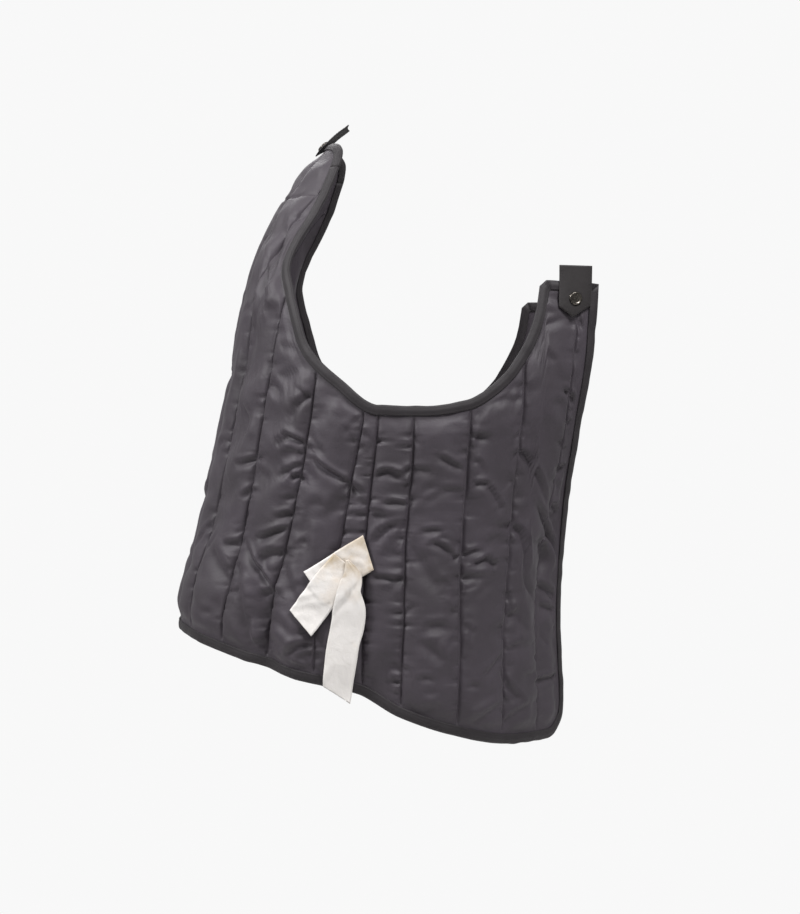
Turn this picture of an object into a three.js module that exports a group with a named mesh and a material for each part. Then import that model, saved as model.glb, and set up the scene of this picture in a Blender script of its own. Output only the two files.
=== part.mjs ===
// Quilted down vest, worn open: a shoulderless body that hangs from three snap tabs at the neck.
// Millimetres, +Z up. The wearer faces -Y and the wearer's right side is at -X. The origin is where
// the back neck tab is held, on the centre line.
import * as THREE from "three";

// ---- Driving sizes ----
const SEAM_GAP = 0.3; // clearance kept between two sewn pieces
const CHANNEL = 60; // distance between two quilting lines
const SHELL = 2.2; // wall where it is stitched flat
const PUFF = 6.2; // rise of a filled channel over the stitched wall
const PUFF_FADE = 16; // distance from a bound edge over which a channel fills out
const BINDING_WIDTH = 7.4;
const BINDING_DEPTH = 4.6;
const CORNER_RADIUS = 40; // lower front corner
const STRAP_TOP = -187; // height of the top edge of each front strap
const NECK_ARC = 78; // where the back's neck edge turns down into the armhole
const TAB_WIDTH = 37;
const TAB_DEPTH = 1.8;
const SNAP_RADIUS = 7.4;
const LABEL_DEPTH = 1;

// ---- Sections of the body, from the neck to below the hem ----
// back: y of the centre back; half: half width of the back, whose widest line is at WIDEST_Y;
// frontHalf: half width of the fronts; frontX and frontY: the open front edge.
const WIDEST_Y = -60;
const SECTIONS = [
  { z: 0, back: -4, half: 72, frontHalf: 165, frontX: 137, frontY: -278 },
  { z: -34, back: 31, half: 86, frontHalf: 165, frontX: 137, frontY: -277 },
  { z: -56, back: 48, half: 97, frontHalf: 165, frontX: 137, frontY: -276 },
  { z: -86, back: 67, half: 113, frontHalf: 166, frontX: 137, frontY: -276 },
  { z: -111, back: 82, half: 130, frontHalf: 167, frontX: 137, frontY: -275 },
  { z: -150, back: 98, half: 166, frontHalf: 168, frontX: 137, frontY: -275 },
  { z: -187, back: 110, half: 189, frontHalf: 171, frontX: 137, frontY: -274 },
  { z: -231, back: 119, half: 203, frontHalf: 185, frontX: 136, frontY: -271 },
  { z: -280, back: 127, half: 208, frontHalf: 199, frontX: 132, frontY: -266 },
  { z: -330, back: 137, half: 208, frontHalf: 208, frontX: 123, frontY: -257 },
  { z: -400, back: 152, half: 206, frontHalf: 206, frontX: 100, frontY: -248 },
  { z: -465, back: 166, half: 205, frontHalf: 205, frontX: 80, frontY: -241 },
  { z: -530, back: 185, half: 208, frontHalf: 208, frontX: 69, frontY: -237 },
  { z: -575, back: 190, half: 210, frontHalf: 210, frontX: 66, frontY: -237 },
  { z: -640, back: 190, half: 210, frontHalf: 210, frontX: 65, frontY: -240 },
  { z: -700, back: 188, half: 210, frontHalf: 210, frontX: 64, frontY: -240 },
];
const BEND = 0.55; // how far along the front the curve starts to turn in
const RING_STEPS = 48;

// ---- Finished edges, on the cloth ----
// arc: distance round from the centre back; ahead: distance forward of the widest line
const BACK_TOP = [
  { arc: 0, z: -18 }, { arc: 40, z: -21 }, { arc: 66, z: -29 }, { arc: 80, z: -42 },
  { arc: 92, z: -62 }, { arc: 105, z: -87 }, { arc: 116, z: -112 }, { arc: 125, z: -142 },
  { arc: 136, z: -167 }, { arc: 154, z: -189 }, { arc: 171, z: -210 }, { arc: 186, z: -231 },
  { arc: 199, z: -252 }, { arc: 213, z: -267 }, { arc: 231, z: -281 }, { arc: 253, z: -296 },
  { arc: 277, z: -314 }, { arc: 295, z: -322 }, { arc: 330, z: -323 },
];
const FRONT_ARMHOLE = [
  { ahead: -60, z: -321 }, { ahead: -22, z: -322 }, { ahead: 31, z: -323 }, { ahead: 64, z: -318 },
  { ahead: 78, z: -314 }, { ahead: 94, z: -304 }, { ahead: 111, z: -290 }, { ahead: 127, z: -269 },
  { ahead: 139, z: -246 }, { ahead: 147, z: -222 }, { ahead: 152, z: STRAP_TOP },
];
const HEM = [
  { arc: 0, z: -569 }, { arc: 90, z: -575 }, { arc: 150, z: -586 }, { arc: 210, z: -599 },
  { arc: 270, z: -614 }, { arc: 321, z: -625 }, { arc: 363, z: -648 }, { arc: 423, z: -669 },
  { arc: 483, z: -682 }, { arc: 540, z: -685 }, { arc: 660, z: -685 },
];
const HEM_LEVEL = -650; // the section on which the hem's arcs are measured
// behind: how far the side seam lies behind the widest line; line: the first quilting line ahead of it;
// spread: share of their full drift that the back's quilting lines have
const SIDE = [
  { z: 0, behind: 22, line: 10, spread: 0.6 }, { z: -322, behind: 22, line: 15, spread: 1.1 },
  { z: -465, behind: 36, line: 6, spread: 0.6 }, { z: -640, behind: 41, line: 1, spread: 0 },
  { z: -720, behind: 43, line: 1, spread: 0 },
];
// The back's quilting lines on one side: arc at the hem, and full drift toward the side seam
const BACK_LINES = [
  { arc: 30, drift: 0 }, { arc: 90, drift: 0 }, { arc: 150, drift: 3 }, { arc: 210, drift: 10 },
  { arc: 270, drift: 9 },
];
const FRONT_LINES = 4;

// ---- Largest folds of the hanging cloth; side -1 is the wearer's right ----
// ahead, z: the middle; long, wide: half sizes; depth: rise, or fall below 0; slant: degrees off upright
const FOLDS = [
  { side: -1, ahead: -150, z: -560, long: 70, wide: 17, depth: -9, slant: 6 },
  { side: -1, ahead: -112, z: -575, long: 60, wide: 20, depth: 7, slant: -4 },
  { side: -1, ahead: 196, z: -480, long: 75, wide: 14, depth: -8, slant: -8 },
  { side: -1, ahead: 150, z: -455, long: 95, wide: 22, depth: 5, slant: -14 },
  { side: -1, ahead: -40, z: -640, long: 45, wide: 26, depth: -6, slant: 0 },
  { side: -1, ahead: 66, z: -600, long: 90, wide: 30, depth: 4, slant: 8 },
  { side: -1, ahead: -255, z: -520, long: 90, wide: 24, depth: 5, slant: 3 },
  { side: 1, ahead: -135, z: -550, long: 80, wide: 19, depth: -8, slant: -5 },
  { side: 1, ahead: -92, z: -580, long: 55, wide: 21, depth: 6, slant: 5 },
  { side: 1, ahead: 188, z: -500, long: 80, wide: 15, depth: -7, slant: 9 },
  { side: 1, ahead: 60, z: -610, long: 80, wide: 28, depth: 5, slant: -6 },
  { side: 1, ahead: -30, z: -620, long: 60, wide: 24, depth: -5, slant: 4 },
  { side: 1, ahead: -250, z: -535, long: 80, wide: 22, depth: -5, slant: -4 },
];

// ---- Tabs and labels ----
// top, length: height of the upper end and drop to the tip; point: height of the pointed end;
// tip: place of the tip across the width; snap: drop to the snap's middle; flat: cloth pressed round it
const FRONT_TAB = { ahead: 190, top: -170, length: 56, point: 13, tip: 0.45, snap: 36, flat: 24 };
const BACK_TAB = { ahead: null, top: -1, length: 34, point: 9, tip: 0.5, snap: 24, flat: 24 };
const TAB_CLEARANCE = 0.4;
const SNAP_CLEARANCE = 0.6; // clears the curve of the tab below the flat foot of the cap
// places of each label's middle line on the cloth: width, and lift off the stitched wall
const LABELS = [
  { name: "label_short", line: [
    { ahead: -34, z: -475, width: 38, lift: 5.2 }, { ahead: -53, z: -486, width: 38, lift: 7.4 },
    { ahead: -72, z: -499, width: 38, lift: 9.2 }, { ahead: -90, z: -511, width: 37, lift: 10.4 }] },
  { name: "label_fold", line: [
    { ahead: -57, z: -489, width: 33, lift: 5.4 }, { ahead: -74, z: -510, width: 34, lift: 7 },
    { ahead: -89, z: -532, width: 34, lift: 7.8 }, { ahead: -104, z: -554, width: 34, lift: 8.6 }] },
  { name: "label_long", line: [
    { ahead: -52, z: -481, width: 10, lift: 9.2 }, { ahead: -52, z: -504, width: 19, lift: 10.6 },
    { ahead: -54, z: -528, width: 30, lift: 10.2 }, { ahead: -56, z: -551, width: 34, lift: 8 },
    { ahead: -61, z: -577, width: 34, lift: 6.6 }, { ahead: -66, z: -626, width: 31, lift: 7.4 }] },
];

// Smooth value of one column of a table: cubic pieces, with the slopes between the neighbours.
function smooth(table, keyName, key, column) {
  const rows = table[1][keyName] > table[0][keyName] ? table : [...table].reverse();
  const last = rows.length - 1;
  const k = Math.min(Math.max(key, rows[0][keyName]), rows[last][keyName]);
  let i = 0;
  while (i < last - 1 && rows[i + 1][keyName] < k) i++;
  const slope = (j) => {
    const a = rows[Math.max(j - 1, 0)];
    const b = rows[Math.min(j + 1, last)];
    return (b[column] - a[column]) / (b[keyName] - a[keyName]);
  };
  const span = rows[i + 1][keyName] - rows[i][keyName];
  const t = (k - rows[i][keyName]) / span;
  const bulge = (1 - t) * (1 - t) * t * slope(i) - t * t * (1 - t) * slope(i + 1);
  return rows[i][column] + (rows[i + 1][column] - rows[i][column]) * t * t * (3 - 2 * t) + span * bulge;
}

// One half of the section at height z: the back from its centre, the front from the widest line.
const rings = new Map();
function ring(z) {
  if (rings.has(z)) return rings.get(z);
  const at = (column) => smooth(SECTIONS, "z", z, column);
  const edge = [at("frontX"), at("frontY")];
  const bendY = WIDEST_Y + BEND * (edge[1] - WIDEST_Y);
  const back = [];
  const front = [];
  for (let i = 0; i <= RING_STEPS; i++) {
    const t = i / RING_STEPS;
    const turn = (t * Math.PI) / 2;
    back.push([at("half") * Math.sin(turn), WIDEST_Y + (at("back") - WIDEST_Y) * Math.cos(turn)]);
    const y = (1 - t) * (1 - t) * WIDEST_Y + 2 * t * (1 - t) * bendY + t * t * edge[1];
    front.push([(1 - t * t) * at("frontHalf") + t * t * edge[0], y]);
  }
  const sums = (line) => {
    const arcs = [0];
    for (let i = 1; i < line.length; i++) {
      arcs.push(arcs[i - 1] + Math.hypot(line[i][0] - line[i - 1][0], line[i][1] - line[i - 1][1]));
    }
    return arcs;
  };
  const made = { back, backArcs: sums(back), front, frontArcs: sums(front) };
  made.quarter = made.backArcs[RING_STEPS];
  made.reach = made.frontArcs[RING_STEPS];
  rings.set(z, made);
  return made;
}

// Point at a distance along a line of points, running straight on past its ends.
function along(line, arcs, distance) {
  let i = 1;
  while (i < arcs.length - 1 && arcs[i] < distance) i++;
  const t = (distance - arcs[i - 1]) / (arcs[i] - arcs[i - 1]);
  return [0, 1].map((k) => line[i - 1][k] + (line[i][k] - line[i - 1][k]) * t);
}

// ---- Places on the cloth: { side, ahead, z } ----
function plainPoint({ side, ahead, z }) {
  const r = ring(z);
  const crossed = ahead < -r.quarter; // past the centre back, onto the other side
  const arc = crossed ? -(ahead + r.quarter) : ahead + r.quarter;
  const [x, y] = ahead > 0 ? along(r.front, r.frontArcs, ahead) : along(r.back, r.backArcs, arc);
  return new THREE.Vector3((crossed ? -side : side) * x, y, z);
}

const PROBE = 3;
function plainNormal({ side, ahead, z }) {
  const across = plainPoint({ side, ahead: ahead + PROBE, z }).sub(plainPoint({ side, ahead: ahead - PROBE, z }));
  const up = plainPoint({ side, ahead, z: z + PROBE }).sub(plainPoint({ side, ahead, z: z - PROBE }));
  return up.cross(across).multiplyScalar(side).normalize();
}

function foldRise({ side, ahead, z }) {
  const mirrored = -(ahead + 2 * ring(z).quarter); // the same place, counted from the other side
  let rise = 0;
  for (const fold of FOLDS) {
    const dx = (fold.side === side ? ahead : mirrored) - fold.ahead;
    const dz = z - fold.z;
    const turn = THREE.MathUtils.degToRad(fold.slant);
    const across = (dx * Math.cos(turn) + dz * Math.sin(turn)) / fold.wide;
    const length = (dz * Math.cos(turn) - dx * Math.sin(turn)) / fold.long;
    rise += fold.depth * Math.exp(-across * across - length * length);
  }
  return rise;
}

// The inside face of the cloth at a place, moved out by lift.
function clothPoint(place, lift) {
  return plainPoint(place).addScaledVector(plainNormal(place), lift + foldRise(place));
}

// ---- Edges of the cut cloth, which end where the binding starts ----
const EDGE_INSET = BINDING_WIDTH + SEAM_GAP;
const OUTLINE_STEPS = 160;
// A table's curve as many points, each moved square to the curve by inset.
function insetCurve(table, keyName, inset) {
  const first = table[0][keyName];
  const step = (table[table.length - 1][keyName] - first) / OUTLINE_STEPS;
  const sample = (i) => [first + step * i, smooth(table, keyName, first + step * i, "z")];
  return Array.from({ length: OUTLINE_STEPS + 1 }, (_, i) => {
    const a = sample(Math.max(i - 1, 0));
    const b = sample(Math.min(i + 1, OUTLINE_STEPS));
    const size = Math.hypot(b[0] - a[0], b[1] - a[1]);
    const [key, z] = sample(i);
    return [key + (inset * (b[1] - a[1])) / size, z - (inset * (b[0] - a[0])) / size];
  });
}
const backTop = insetCurve(BACK_TOP, "arc", EDGE_INSET);
const frontArmhole = insetCurve(FRONT_ARMHOLE, "ahead", EDGE_INSET);
const hemRing = ring(HEM_LEVEL);

function heightOn(curve, key) {
  let i = 1;
  while (i < curve.length - 1 && curve[i][0] < key) i++;
  const t = (key - curve[i - 1][0]) / (curve[i][0] - curve[i - 1][0]);
  return curve[i - 1][1] + (curve[i][1] - curve[i - 1][1]) * t;
}

// Height of the cut hem, with the round lower front corner.
function hemHeight(ahead) {
  const radius = CORNER_RADIUS - EDGE_INSET;
  const past = ahead - (hemRing.reach - CORNER_RADIUS);
  const rise = past > 0 ? radius - Math.sqrt(Math.max(radius * radius - past * past, 0)) : 0;
  return smooth(HEM, "arc", ahead + hemRing.quarter, "z") + EDGE_INSET + rise;
}

const seamAt = (z) => -smooth(SIDE, "z", z, "behind");
const frontLineAt = (z, index) => smooth(SIDE, "z", z, "line") + index * CHANNEL;
function backLineAt(z, index) {
  const { arc, drift } = BACK_LINES[index];
  return arc + drift * smooth(SIDE, "z", z, "spread");
}

// ---- Rise of the filled channels ----
const snapPlaces = [FRONT_TAB, BACK_TAB].map((tab) => ({ ...tab, z: tab.top - tab.snap }));
const tabAhead = (tab, z) => (tab.ahead === null ? -ring(z).quarter : tab.ahead);

// share: the place between two stitched lines; edge: the distance to the nearest bound edge.
function channelRise(place, share, width, edge) {
  let flat = 1;
  for (const tab of snapPlaces) {
    const dx = place.ahead - tabAhead(tab, place.z);
    const dz = place.z - tab.z;
    flat -= 0.75 * Math.exp(-(dx * dx + dz * dz) / (tab.flat * tab.flat));
  }
  const filled = Math.pow(Math.max(Math.sin(Math.PI * share), 0), 0.7);
  const fade = THREE.MathUtils.smoothstep(edge, -2, PUFF_FADE);
  return PUFF * filled * fade * Math.min(width / CHANNEL, 1) * flat;
}

// ---- A closed wall from a grid of places, and its faces ----
const ringOf = (columns, rows) => {
  const at = (i, j) => i * (rows + 1) + j;
  const list = [];
  for (let i = 0; i < columns; i++) list.push(at(i, 0));
  for (let j = 0; j < rows; j++) list.push(at(columns, j));
  for (let i = columns; i > 0; i--) list.push(at(i, rows));
  for (let j = rows; j > 0; j--) list.push(at(0, j));
  return list;
};

// Two grids of points, one over the other, joined round their rims.
function shell(lower, upper, columns, rows) {
  const skin = lower.length;
  const index = [];
  const quad = (a, b, c, d) => index.push(a, b, c, a, c, d);
  for (let i = 0; i < columns; i++) {
    for (let j = 0; j < rows; j++) {
      const a = i * (rows + 1) + j;
      const b = a + rows + 1;
      quad(a, b, b + 1, a + 1);
      quad(a + skin, a + 1 + skin, b + 1 + skin, b + skin);
    }
  }
  const rim = ringOf(columns, rows);
  rim.forEach((a, k) => {
    const b = rim[(k + 1) % rim.length];
    quad(b, a, a + skin, b + skin);
  });
  return closed([...lower, ...upper], index);
}

// Closed surface whose faces are turned outward.
function closed(points, index) {
  let volume = 0;
  for (let k = 0; k < index.length; k += 3) {
    const [a, b, c] = [0, 1, 2].map((n) => points[index[k + n]]);
    volume += a.dot(b.clone().cross(c));
  }
  if (volume < 0) index.reverse();
  const geometry = new THREE.BufferGeometry().setFromPoints(points);
  geometry.setIndex(index);
  geometry.computeVertexNormals();
  return geometry;
}

// A panel's places by column and row; the inside is plain and the outside is raised.
function panelPlaces(columns, rows, place) {
  return Array.from({ length: columns + 1 }, (_, i) => Array.from({ length: rows + 1 }, (__, j) => place(i, j)));
}
function panelGeometry(places) {
  const flatList = places.flat();
  const lower = flatList.map((p) => clothPoint(p, 0));
  const upper = flatList.map((p) => clothPoint(p, SHELL + p.rise));
  return shell(lower, upper, places.length - 1, places[0].length - 1);
}

// ---- Back panel ----
const BACK_ROWS = 16;
const CHANNEL_CELLS = 5;
const WEDGE_CELLS = 2;
function backPlaces() {
  const count = BACK_LINES.length;
  const columns = [];
  for (let c = 0; c < WEDGE_CELLS; c++) columns.push({ line: -count, share: c / WEDGE_CELLS });
  for (let k = 0; k < (2 * count - 1) * CHANNEL_CELLS; k++) {
    columns.push({ line: Math.floor(k / CHANNEL_CELLS) - count + 1, share: (k % CHANNEL_CELLS) / CHANNEL_CELLS });
  }
  for (let c = 0; c <= WEDGE_CELLS; c++) columns.push({ line: count, share: c / WEDGE_CELLS });
  // line 0 is the channel on the centre back; the wedge beside the side seam is line -count or count
  const ends = ({ line }, z) => {
    const seam = ring(z).quarter + seamAt(z) - SEAM_GAP / 2;
    const at = (index) => (index < 0 ? -1 : 1) * backLineAt(z, index < 0 ? -index - 1 : index);
    if (line === -count) return [-seam, at(-count)];
    return [at(line - 1), line === count ? seam : at(line)];
  };
  const arcOf = (column, z) => {
    const [from, to] = ends(column, z);
    return from + column.share * (to - from);
  };
  return panelPlaces(columns.length - 1, BACK_ROWS, (i, j) => {
    const column = columns[i];
    let low = -600;
    let high = -320;
    for (let pass = 0; pass < 5; pass++) {
      low = hemHeight(Math.abs(arcOf(column, low)) - hemRing.quarter);
      high = heightOn(backTop, Math.abs(arcOf(column, high)));
    }
    const z = low + ((high - low) * j) / BACK_ROWS;
    const [from, to] = ends(column, z);
    const arc = from + column.share * (to - from);
    const place = { side: arc < 0 ? -1 : 1, ahead: Math.abs(arc) - ring(z).quarter, z };
    return { ...place, rise: channelRise(place, column.share, to - from, Math.min(z - low, high - z)) };
  });
}

// ---- Fronts ----
const FRONT_ROWS = 14;
const SEAM_CELLS = 3;
const CORNER_SHARES = [0, 0.2, 0.4, 0.58, 0.74, 0.86, 0.94, 1]; // closer together round the lower corner
const STRAP_SHARES = [0, 0.2, 0.36, 0.485, 0.6, 0.8]; // closer together where the armhole climbs
const STRAP_CORNER = SEAM_CELLS + 2 * CHANNEL_CELLS + 3; // the column at the strap's upper back corner
function frontPlaces(side) {
  const columns = [];
  for (let c = 0; c < SEAM_CELLS; c++) columns.push({ line: -1, share: c / SEAM_CELLS });
  for (let k = 0; k < 2 * CHANNEL_CELLS; k++) {
    columns.push({ line: Math.floor(k / CHANNEL_CELLS), share: (k % CHANNEL_CELLS) / CHANNEL_CELLS });
  }
  for (const share of STRAP_SHARES) columns.push({ line: 2, share });
  for (const share of CORNER_SHARES) columns.push({ line: FRONT_LINES - 1, share });
  const ends = ({ line }, z) => {
    const from = line < 0 ? seamAt(z) + SEAM_GAP / 2 : frontLineAt(z, line);
    return [from, line === FRONT_LINES - 1 ? ring(z).reach - EDGE_INSET : frontLineAt(z, line + 1)];
  };
  const aheadOf = (column, z) => {
    const [from, to] = ends(column, z);
    return from + column.share * (to - from);
  };
  return panelPlaces(columns.length - 1, FRONT_ROWS, (i, j) => {
    const column = columns[i];
    let low = -660;
    let high = -300;
    for (let pass = 0; pass < 5; pass++) {
      low = hemHeight((aheadOf(column, low) * hemRing.reach) / ring(low).reach);
      const armhole = i < STRAP_CORNER ? heightOn(frontArmhole, aheadOf(column, high)) : 0;
      high = Math.min(armhole, STRAP_TOP - EDGE_INSET);
    }
    const z = low + ((high - low) * j) / FRONT_ROWS;
    const [from, to] = ends(column, z);
    const place = { side, ahead: from + column.share * (to - from), z };
    const fromFront = column.line === FRONT_LINES - 1 ? to - place.ahead : PUFF_FADE;
    return { ...place, rise: channelRise(place, column.share, to - from, Math.min(z - low, high - z, fromFront)) };
  });
}

// ---- Bindings: a folded strip swept beside the cut edges ----
// The closed outline runs down the right front edge, along the hem, up the left front, over its strap,
// round the left armhole, across the neck, and down the right armhole to the right strap.
const back = backPlaces();
const fronts = { right: frontPlaces(-1), left: frontPlaces(1) };
function outline() {
  const last = (places) => places.length - 1;
  const bottom = (places) => places.map((column) => column[0]);
  const top = (places) => places.map((column) => column[column.length - 1]);
  const { right, left } = fronts;
  const runs = [];
  const add = (name, places) => runs.push({ name, places });
  add("edge", [
    ...right[last(right)].slice(1).reverse(), ...bottom(right).reverse(), ...bottom(back).slice(1, -1),
    ...bottom(left), ...left[last(left)].slice(1, -1),
  ]);
  add("top_left", top(left).slice(STRAP_CORNER + 1).reverse());
  const backEdge = top(back);
  const arcOf = (p) => p.ahead + ring(p.z).quarter;
  const neck = backEdge.filter((p) => arcOf(p) < NECK_ARC + p.side);
  const rightSide = backEdge.filter((p) => arcOf(p) > NECK_ARC - 1 && p.side < 0);
  const leftSide = backEdge.filter((p) => arcOf(p) > NECK_ARC + 1 && p.side > 0);
  add("armhole_left", [...top(left).slice(0, STRAP_CORNER + 1).reverse(), ...leftSide.reverse().slice(1)]);
  add("neck", neck.reverse());
  add("armhole_right", [...rightSide.reverse().slice(0, -1), ...top(right).slice(0, STRAP_CORNER)]);
  add("top_right", top(right).slice(STRAP_CORNER, -1));
  return runs;
}

// Outer corners of the strip's section: across from the cut edge (0) to the finished edge (1), and depth.
const STRIP_SECTION = [[0, -0.3], [0.3, -0.5], [0.85, -0.4], [1, 0], [0.85, 0.4], [0.3, 0.5], [0, 0.3]];

function stripSections(runs) {
  const list = runs.flatMap((run) => run.places.map((place) => ({ run: run.name, place })));
  const points = list.map(({ place }) => clothPoint(place, SHELL / 2));
  return list.map(({ run, place }, i) => {
    const n = points.length;
    const into = points[i].clone().sub(points[(i + n - 1) % n]).normalize();
    const from = points[(i + 1) % n].clone().sub(points[i]).normalize();
    const normal = plainNormal(place);
    const acrossInto = normal.clone().cross(into).normalize();
    const acrossFrom = normal.clone().cross(from).normalize();
    const across = acrossInto.clone().add(acrossFrom).normalize();
    const mitre = 1 / Math.max(across.dot(acrossInto), 0.5);
    return { run, point: points[i], across, mitre, normal, into, from };
  });
}

function stripGeometry(sections, startCut, endCut) {
  const points = [];
  sections.forEach(({ point, across, mitre, normal, into, from }, i) => {
    const foot = point.clone();
    if (i === 0 && startCut) foot.addScaledVector(from, SEAM_GAP / 2 / Math.max(across.dot(normal.clone().cross(from)), 0.5));
    if (i === sections.length - 1 && endCut) foot.addScaledVector(into, -SEAM_GAP / 2 / Math.max(across.dot(normal.clone().cross(into)), 0.5));
    for (const [a, b] of STRIP_SECTION) {
      const reach = (SEAM_GAP + a * BINDING_WIDTH) * mitre;
      points.push(foot.clone().addScaledVector(across, reach).addScaledVector(normal, b * BINDING_DEPTH));
    }
  });
  const n = STRIP_SECTION.length;
  const index = [];
  for (let i = 0; i < sections.length - 1; i++) {
    for (let k = 0; k < n; k++) {
      const a = i * n + k;
      const b = i * n + ((k + 1) % n);
      index.push(a, a + n, b + n, a, b + n, b);
    }
  }
  const tail = (sections.length - 1) * n;
  for (let k = 1; k < n - 1; k++) index.push(0, k, k + 1, tail, tail + k + 1, tail + k);
  return closed(points, index);
}

// ---- Neck tabs: a strip with a pointed end, flat across and following the edge it crosses ----
const TAB_CELLS = 4;
const TAB_ROWS = 7;
const TAB_MARGIN = 12; // how far past a place the cloth below it counts
const panels = [back, fronts.right, fronts.left];

// Height of the tab's underside at z: over the panels and the binding it crosses, and level at the snap.
function tabLift(tab, side, z) {
  const middle = tabAhead(tab, z);
  let lift = (BINDING_DEPTH + SHELL) / 2;
  for (const column of panels.flat()) {
    for (let j = 1; j < column.length; j++) {
      const [a, b] = [column[j - 1], column[j]];
      const t = (z - a.z) / (b.z - a.z);
      if (t < 0 || t > 1) continue;
      const ahead = a.ahead + (b.ahead - a.ahead) * t;
      const place = a.side === side ? ahead : -2 * ring(z).quarter - ahead;
      if (Math.abs(place - middle) < TAB_WIDTH / 2 + TAB_MARGIN) {
        lift = Math.max(lift, SHELL + a.rise + (b.rise - a.rise) * t);
      }
    }
  }
  return lift + TAB_CLEARANCE;
}
function snapLift(tab, side) {
  const z = tab.top - tab.snap;
  return Math.max(...[-TAB_MARGIN, 0, TAB_MARGIN].map((dz) => tabLift(tab, side, z + dz)));
}

function tabGeometry(tab, side) {
  const faces = [[], []];
  for (let j = 0; j <= TAB_ROWS; j++) {
    const row = tab.top - (tab.length * j) / TAB_ROWS;
    const level = Math.abs(row - tab.top + tab.snap) < TAB_MARGIN;
    const lift = level ? snapLift(tab, side) : tabLift(tab, side, row);
    for (let i = 0; i <= TAB_CELLS; i++) {
      const share = i / TAB_CELLS;
      const fromTip = Math.abs(share - tab.tip) / Math.max(tab.tip, 1 - tab.tip);
      const z = tab.top - ((tab.length - tab.point * fromTip) * j) / TAB_ROWS;
      const place = { side, ahead: tabAhead(tab, z) + (share - 0.5) * TAB_WIDTH, z };
      faces[0].push(clothPoint(place, lift));
      faces[1].push(clothPoint(place, lift + TAB_DEPTH));
    }
  }
  return shell(faces[0], faces[1], TAB_ROWS, TAB_CELLS);
}

// Snap cap: a low turned dome with a rolled rim and a dished middle.
const SNAP_SEGMENTS = 16;
const SNAP_PROFILE = [[0, 0], [1, 0], [1, 1.1], [0.86, 2.2], [0.66, 1.6], [0, 1.3]]; // radius share, height
function snapMesh(name, tab, side) {
  const profile = SNAP_PROFILE.map(([share, height]) => new THREE.Vector2(share * SNAP_RADIUS, height));
  const mesh = new THREE.Mesh(new THREE.LatheGeometry(profile, SNAP_SEGMENTS), finishes.snap);
  const z = tab.top - tab.snap;
  const place = { side, ahead: tabAhead(tab, z), z };
  const lift = snapLift(tab, side) + TAB_DEPTH + SNAP_CLEARANCE;
  mesh.name = name;
  mesh.position.copy(clothPoint(place, lift));
  mesh.quaternion.setFromUnitVectors(new THREE.Vector3(0, 1, 0), plainNormal(place));
  return mesh;
}

// ---- Labels: bare strips that hang from the right side seam ----
const LABEL_CELLS = 2;
const LABEL_ROWS = 9;
function labelGeometry({ line }, side) {
  const rows = line.map((row, i) => ({ ...row, run: i / (line.length - 1) }));
  const at = (run, column) => smooth(rows, "run", run, column);
  const faces = [[], []];
  for (let i = 0; i <= LABEL_CELLS; i++) {
    for (let j = 0; j <= LABEL_ROWS; j++) {
      const run = j / LABEL_ROWS;
      const before = Math.max(run - 0.05, 0);
      const after = Math.min(run + 0.05, 1);
      const dx = at(after, "ahead") - at(before, "ahead");
      const dz = at(after, "z") - at(before, "z");
      const offset = ((i / LABEL_CELLS - 0.5) * at(run, "width")) / Math.hypot(dx, dz);
      const place = { side, ahead: at(run, "ahead") - dz * offset, z: at(run, "z") + dx * offset };
      faces[0].push(clothPoint(place, SHELL + at(run, "lift") - LABEL_DEPTH));
      faces[1].push(clothPoint(place, SHELL + at(run, "lift")));
    }
  }
  return shell(faces[0], faces[1], LABEL_CELLS, LABEL_ROWS);
}

// ---- Finishes ----
const finish = (color, roughness, metalness = 0) => new THREE.MeshStandardMaterial({ color, roughness, metalness });
const finishes = {
  quilt: finish(0x37333a, 0.55),
  binding: finish(0x33312f, 0.6),
  tab: finish(0x2b292e, 0.6),
  snap: finish(0x3a3836, 0.3, 0.9),
  label: finish(0xe6e0da, 0.7),
};

const vest = new THREE.Group();
function add(name, geometry, material) {
  const mesh = new THREE.Mesh(geometry, material);
  mesh.name = name;
  vest.add(mesh);
}

add("back_panel", panelGeometry(back), finishes.quilt);
add("front_right", panelGeometry(fronts.right), finishes.quilt);
add("front_left", panelGeometry(fronts.left), finishes.quilt);

const runs = outline();
const sections = stripSections(runs);
let first = 0;
for (const run of runs) {
  const count = run.places.length;
  const strip = Array.from({ length: count + 1 }, (_, i) => sections[(first + i) % sections.length]);
  add(`binding_${run.name}`, stripGeometry(strip, true, true), finishes.binding);
  first += count;
}

for (const [word, side] of [["right", -1], ["left", 1]]) {
  add(`tab_${word}`, tabGeometry(FRONT_TAB, side), finishes.tab);
  vest.add(snapMesh(`snap_${word}`, FRONT_TAB, side));
}
add("tab_back", tabGeometry(BACK_TAB, 1), finishes.tab);
vest.add(snapMesh("snap_back", BACK_TAB, 1));
for (const label of LABELS) add(label.name, labelGeometry(label, -1), finishes.label);

export default vest;
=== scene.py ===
import bpy
import numpy as np
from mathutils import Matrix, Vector


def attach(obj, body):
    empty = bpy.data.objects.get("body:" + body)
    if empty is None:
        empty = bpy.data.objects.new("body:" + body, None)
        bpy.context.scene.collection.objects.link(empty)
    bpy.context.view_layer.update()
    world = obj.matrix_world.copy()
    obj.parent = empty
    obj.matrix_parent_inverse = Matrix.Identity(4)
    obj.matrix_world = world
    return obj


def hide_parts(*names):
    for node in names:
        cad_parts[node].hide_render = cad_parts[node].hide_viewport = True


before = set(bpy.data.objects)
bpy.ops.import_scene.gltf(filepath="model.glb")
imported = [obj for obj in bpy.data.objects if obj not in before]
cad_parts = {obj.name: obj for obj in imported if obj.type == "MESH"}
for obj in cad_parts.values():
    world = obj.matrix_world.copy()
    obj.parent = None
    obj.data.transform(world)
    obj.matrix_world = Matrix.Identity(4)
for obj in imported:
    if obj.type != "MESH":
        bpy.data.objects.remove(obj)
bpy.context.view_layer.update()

scene = bpy.context.scene
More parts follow.
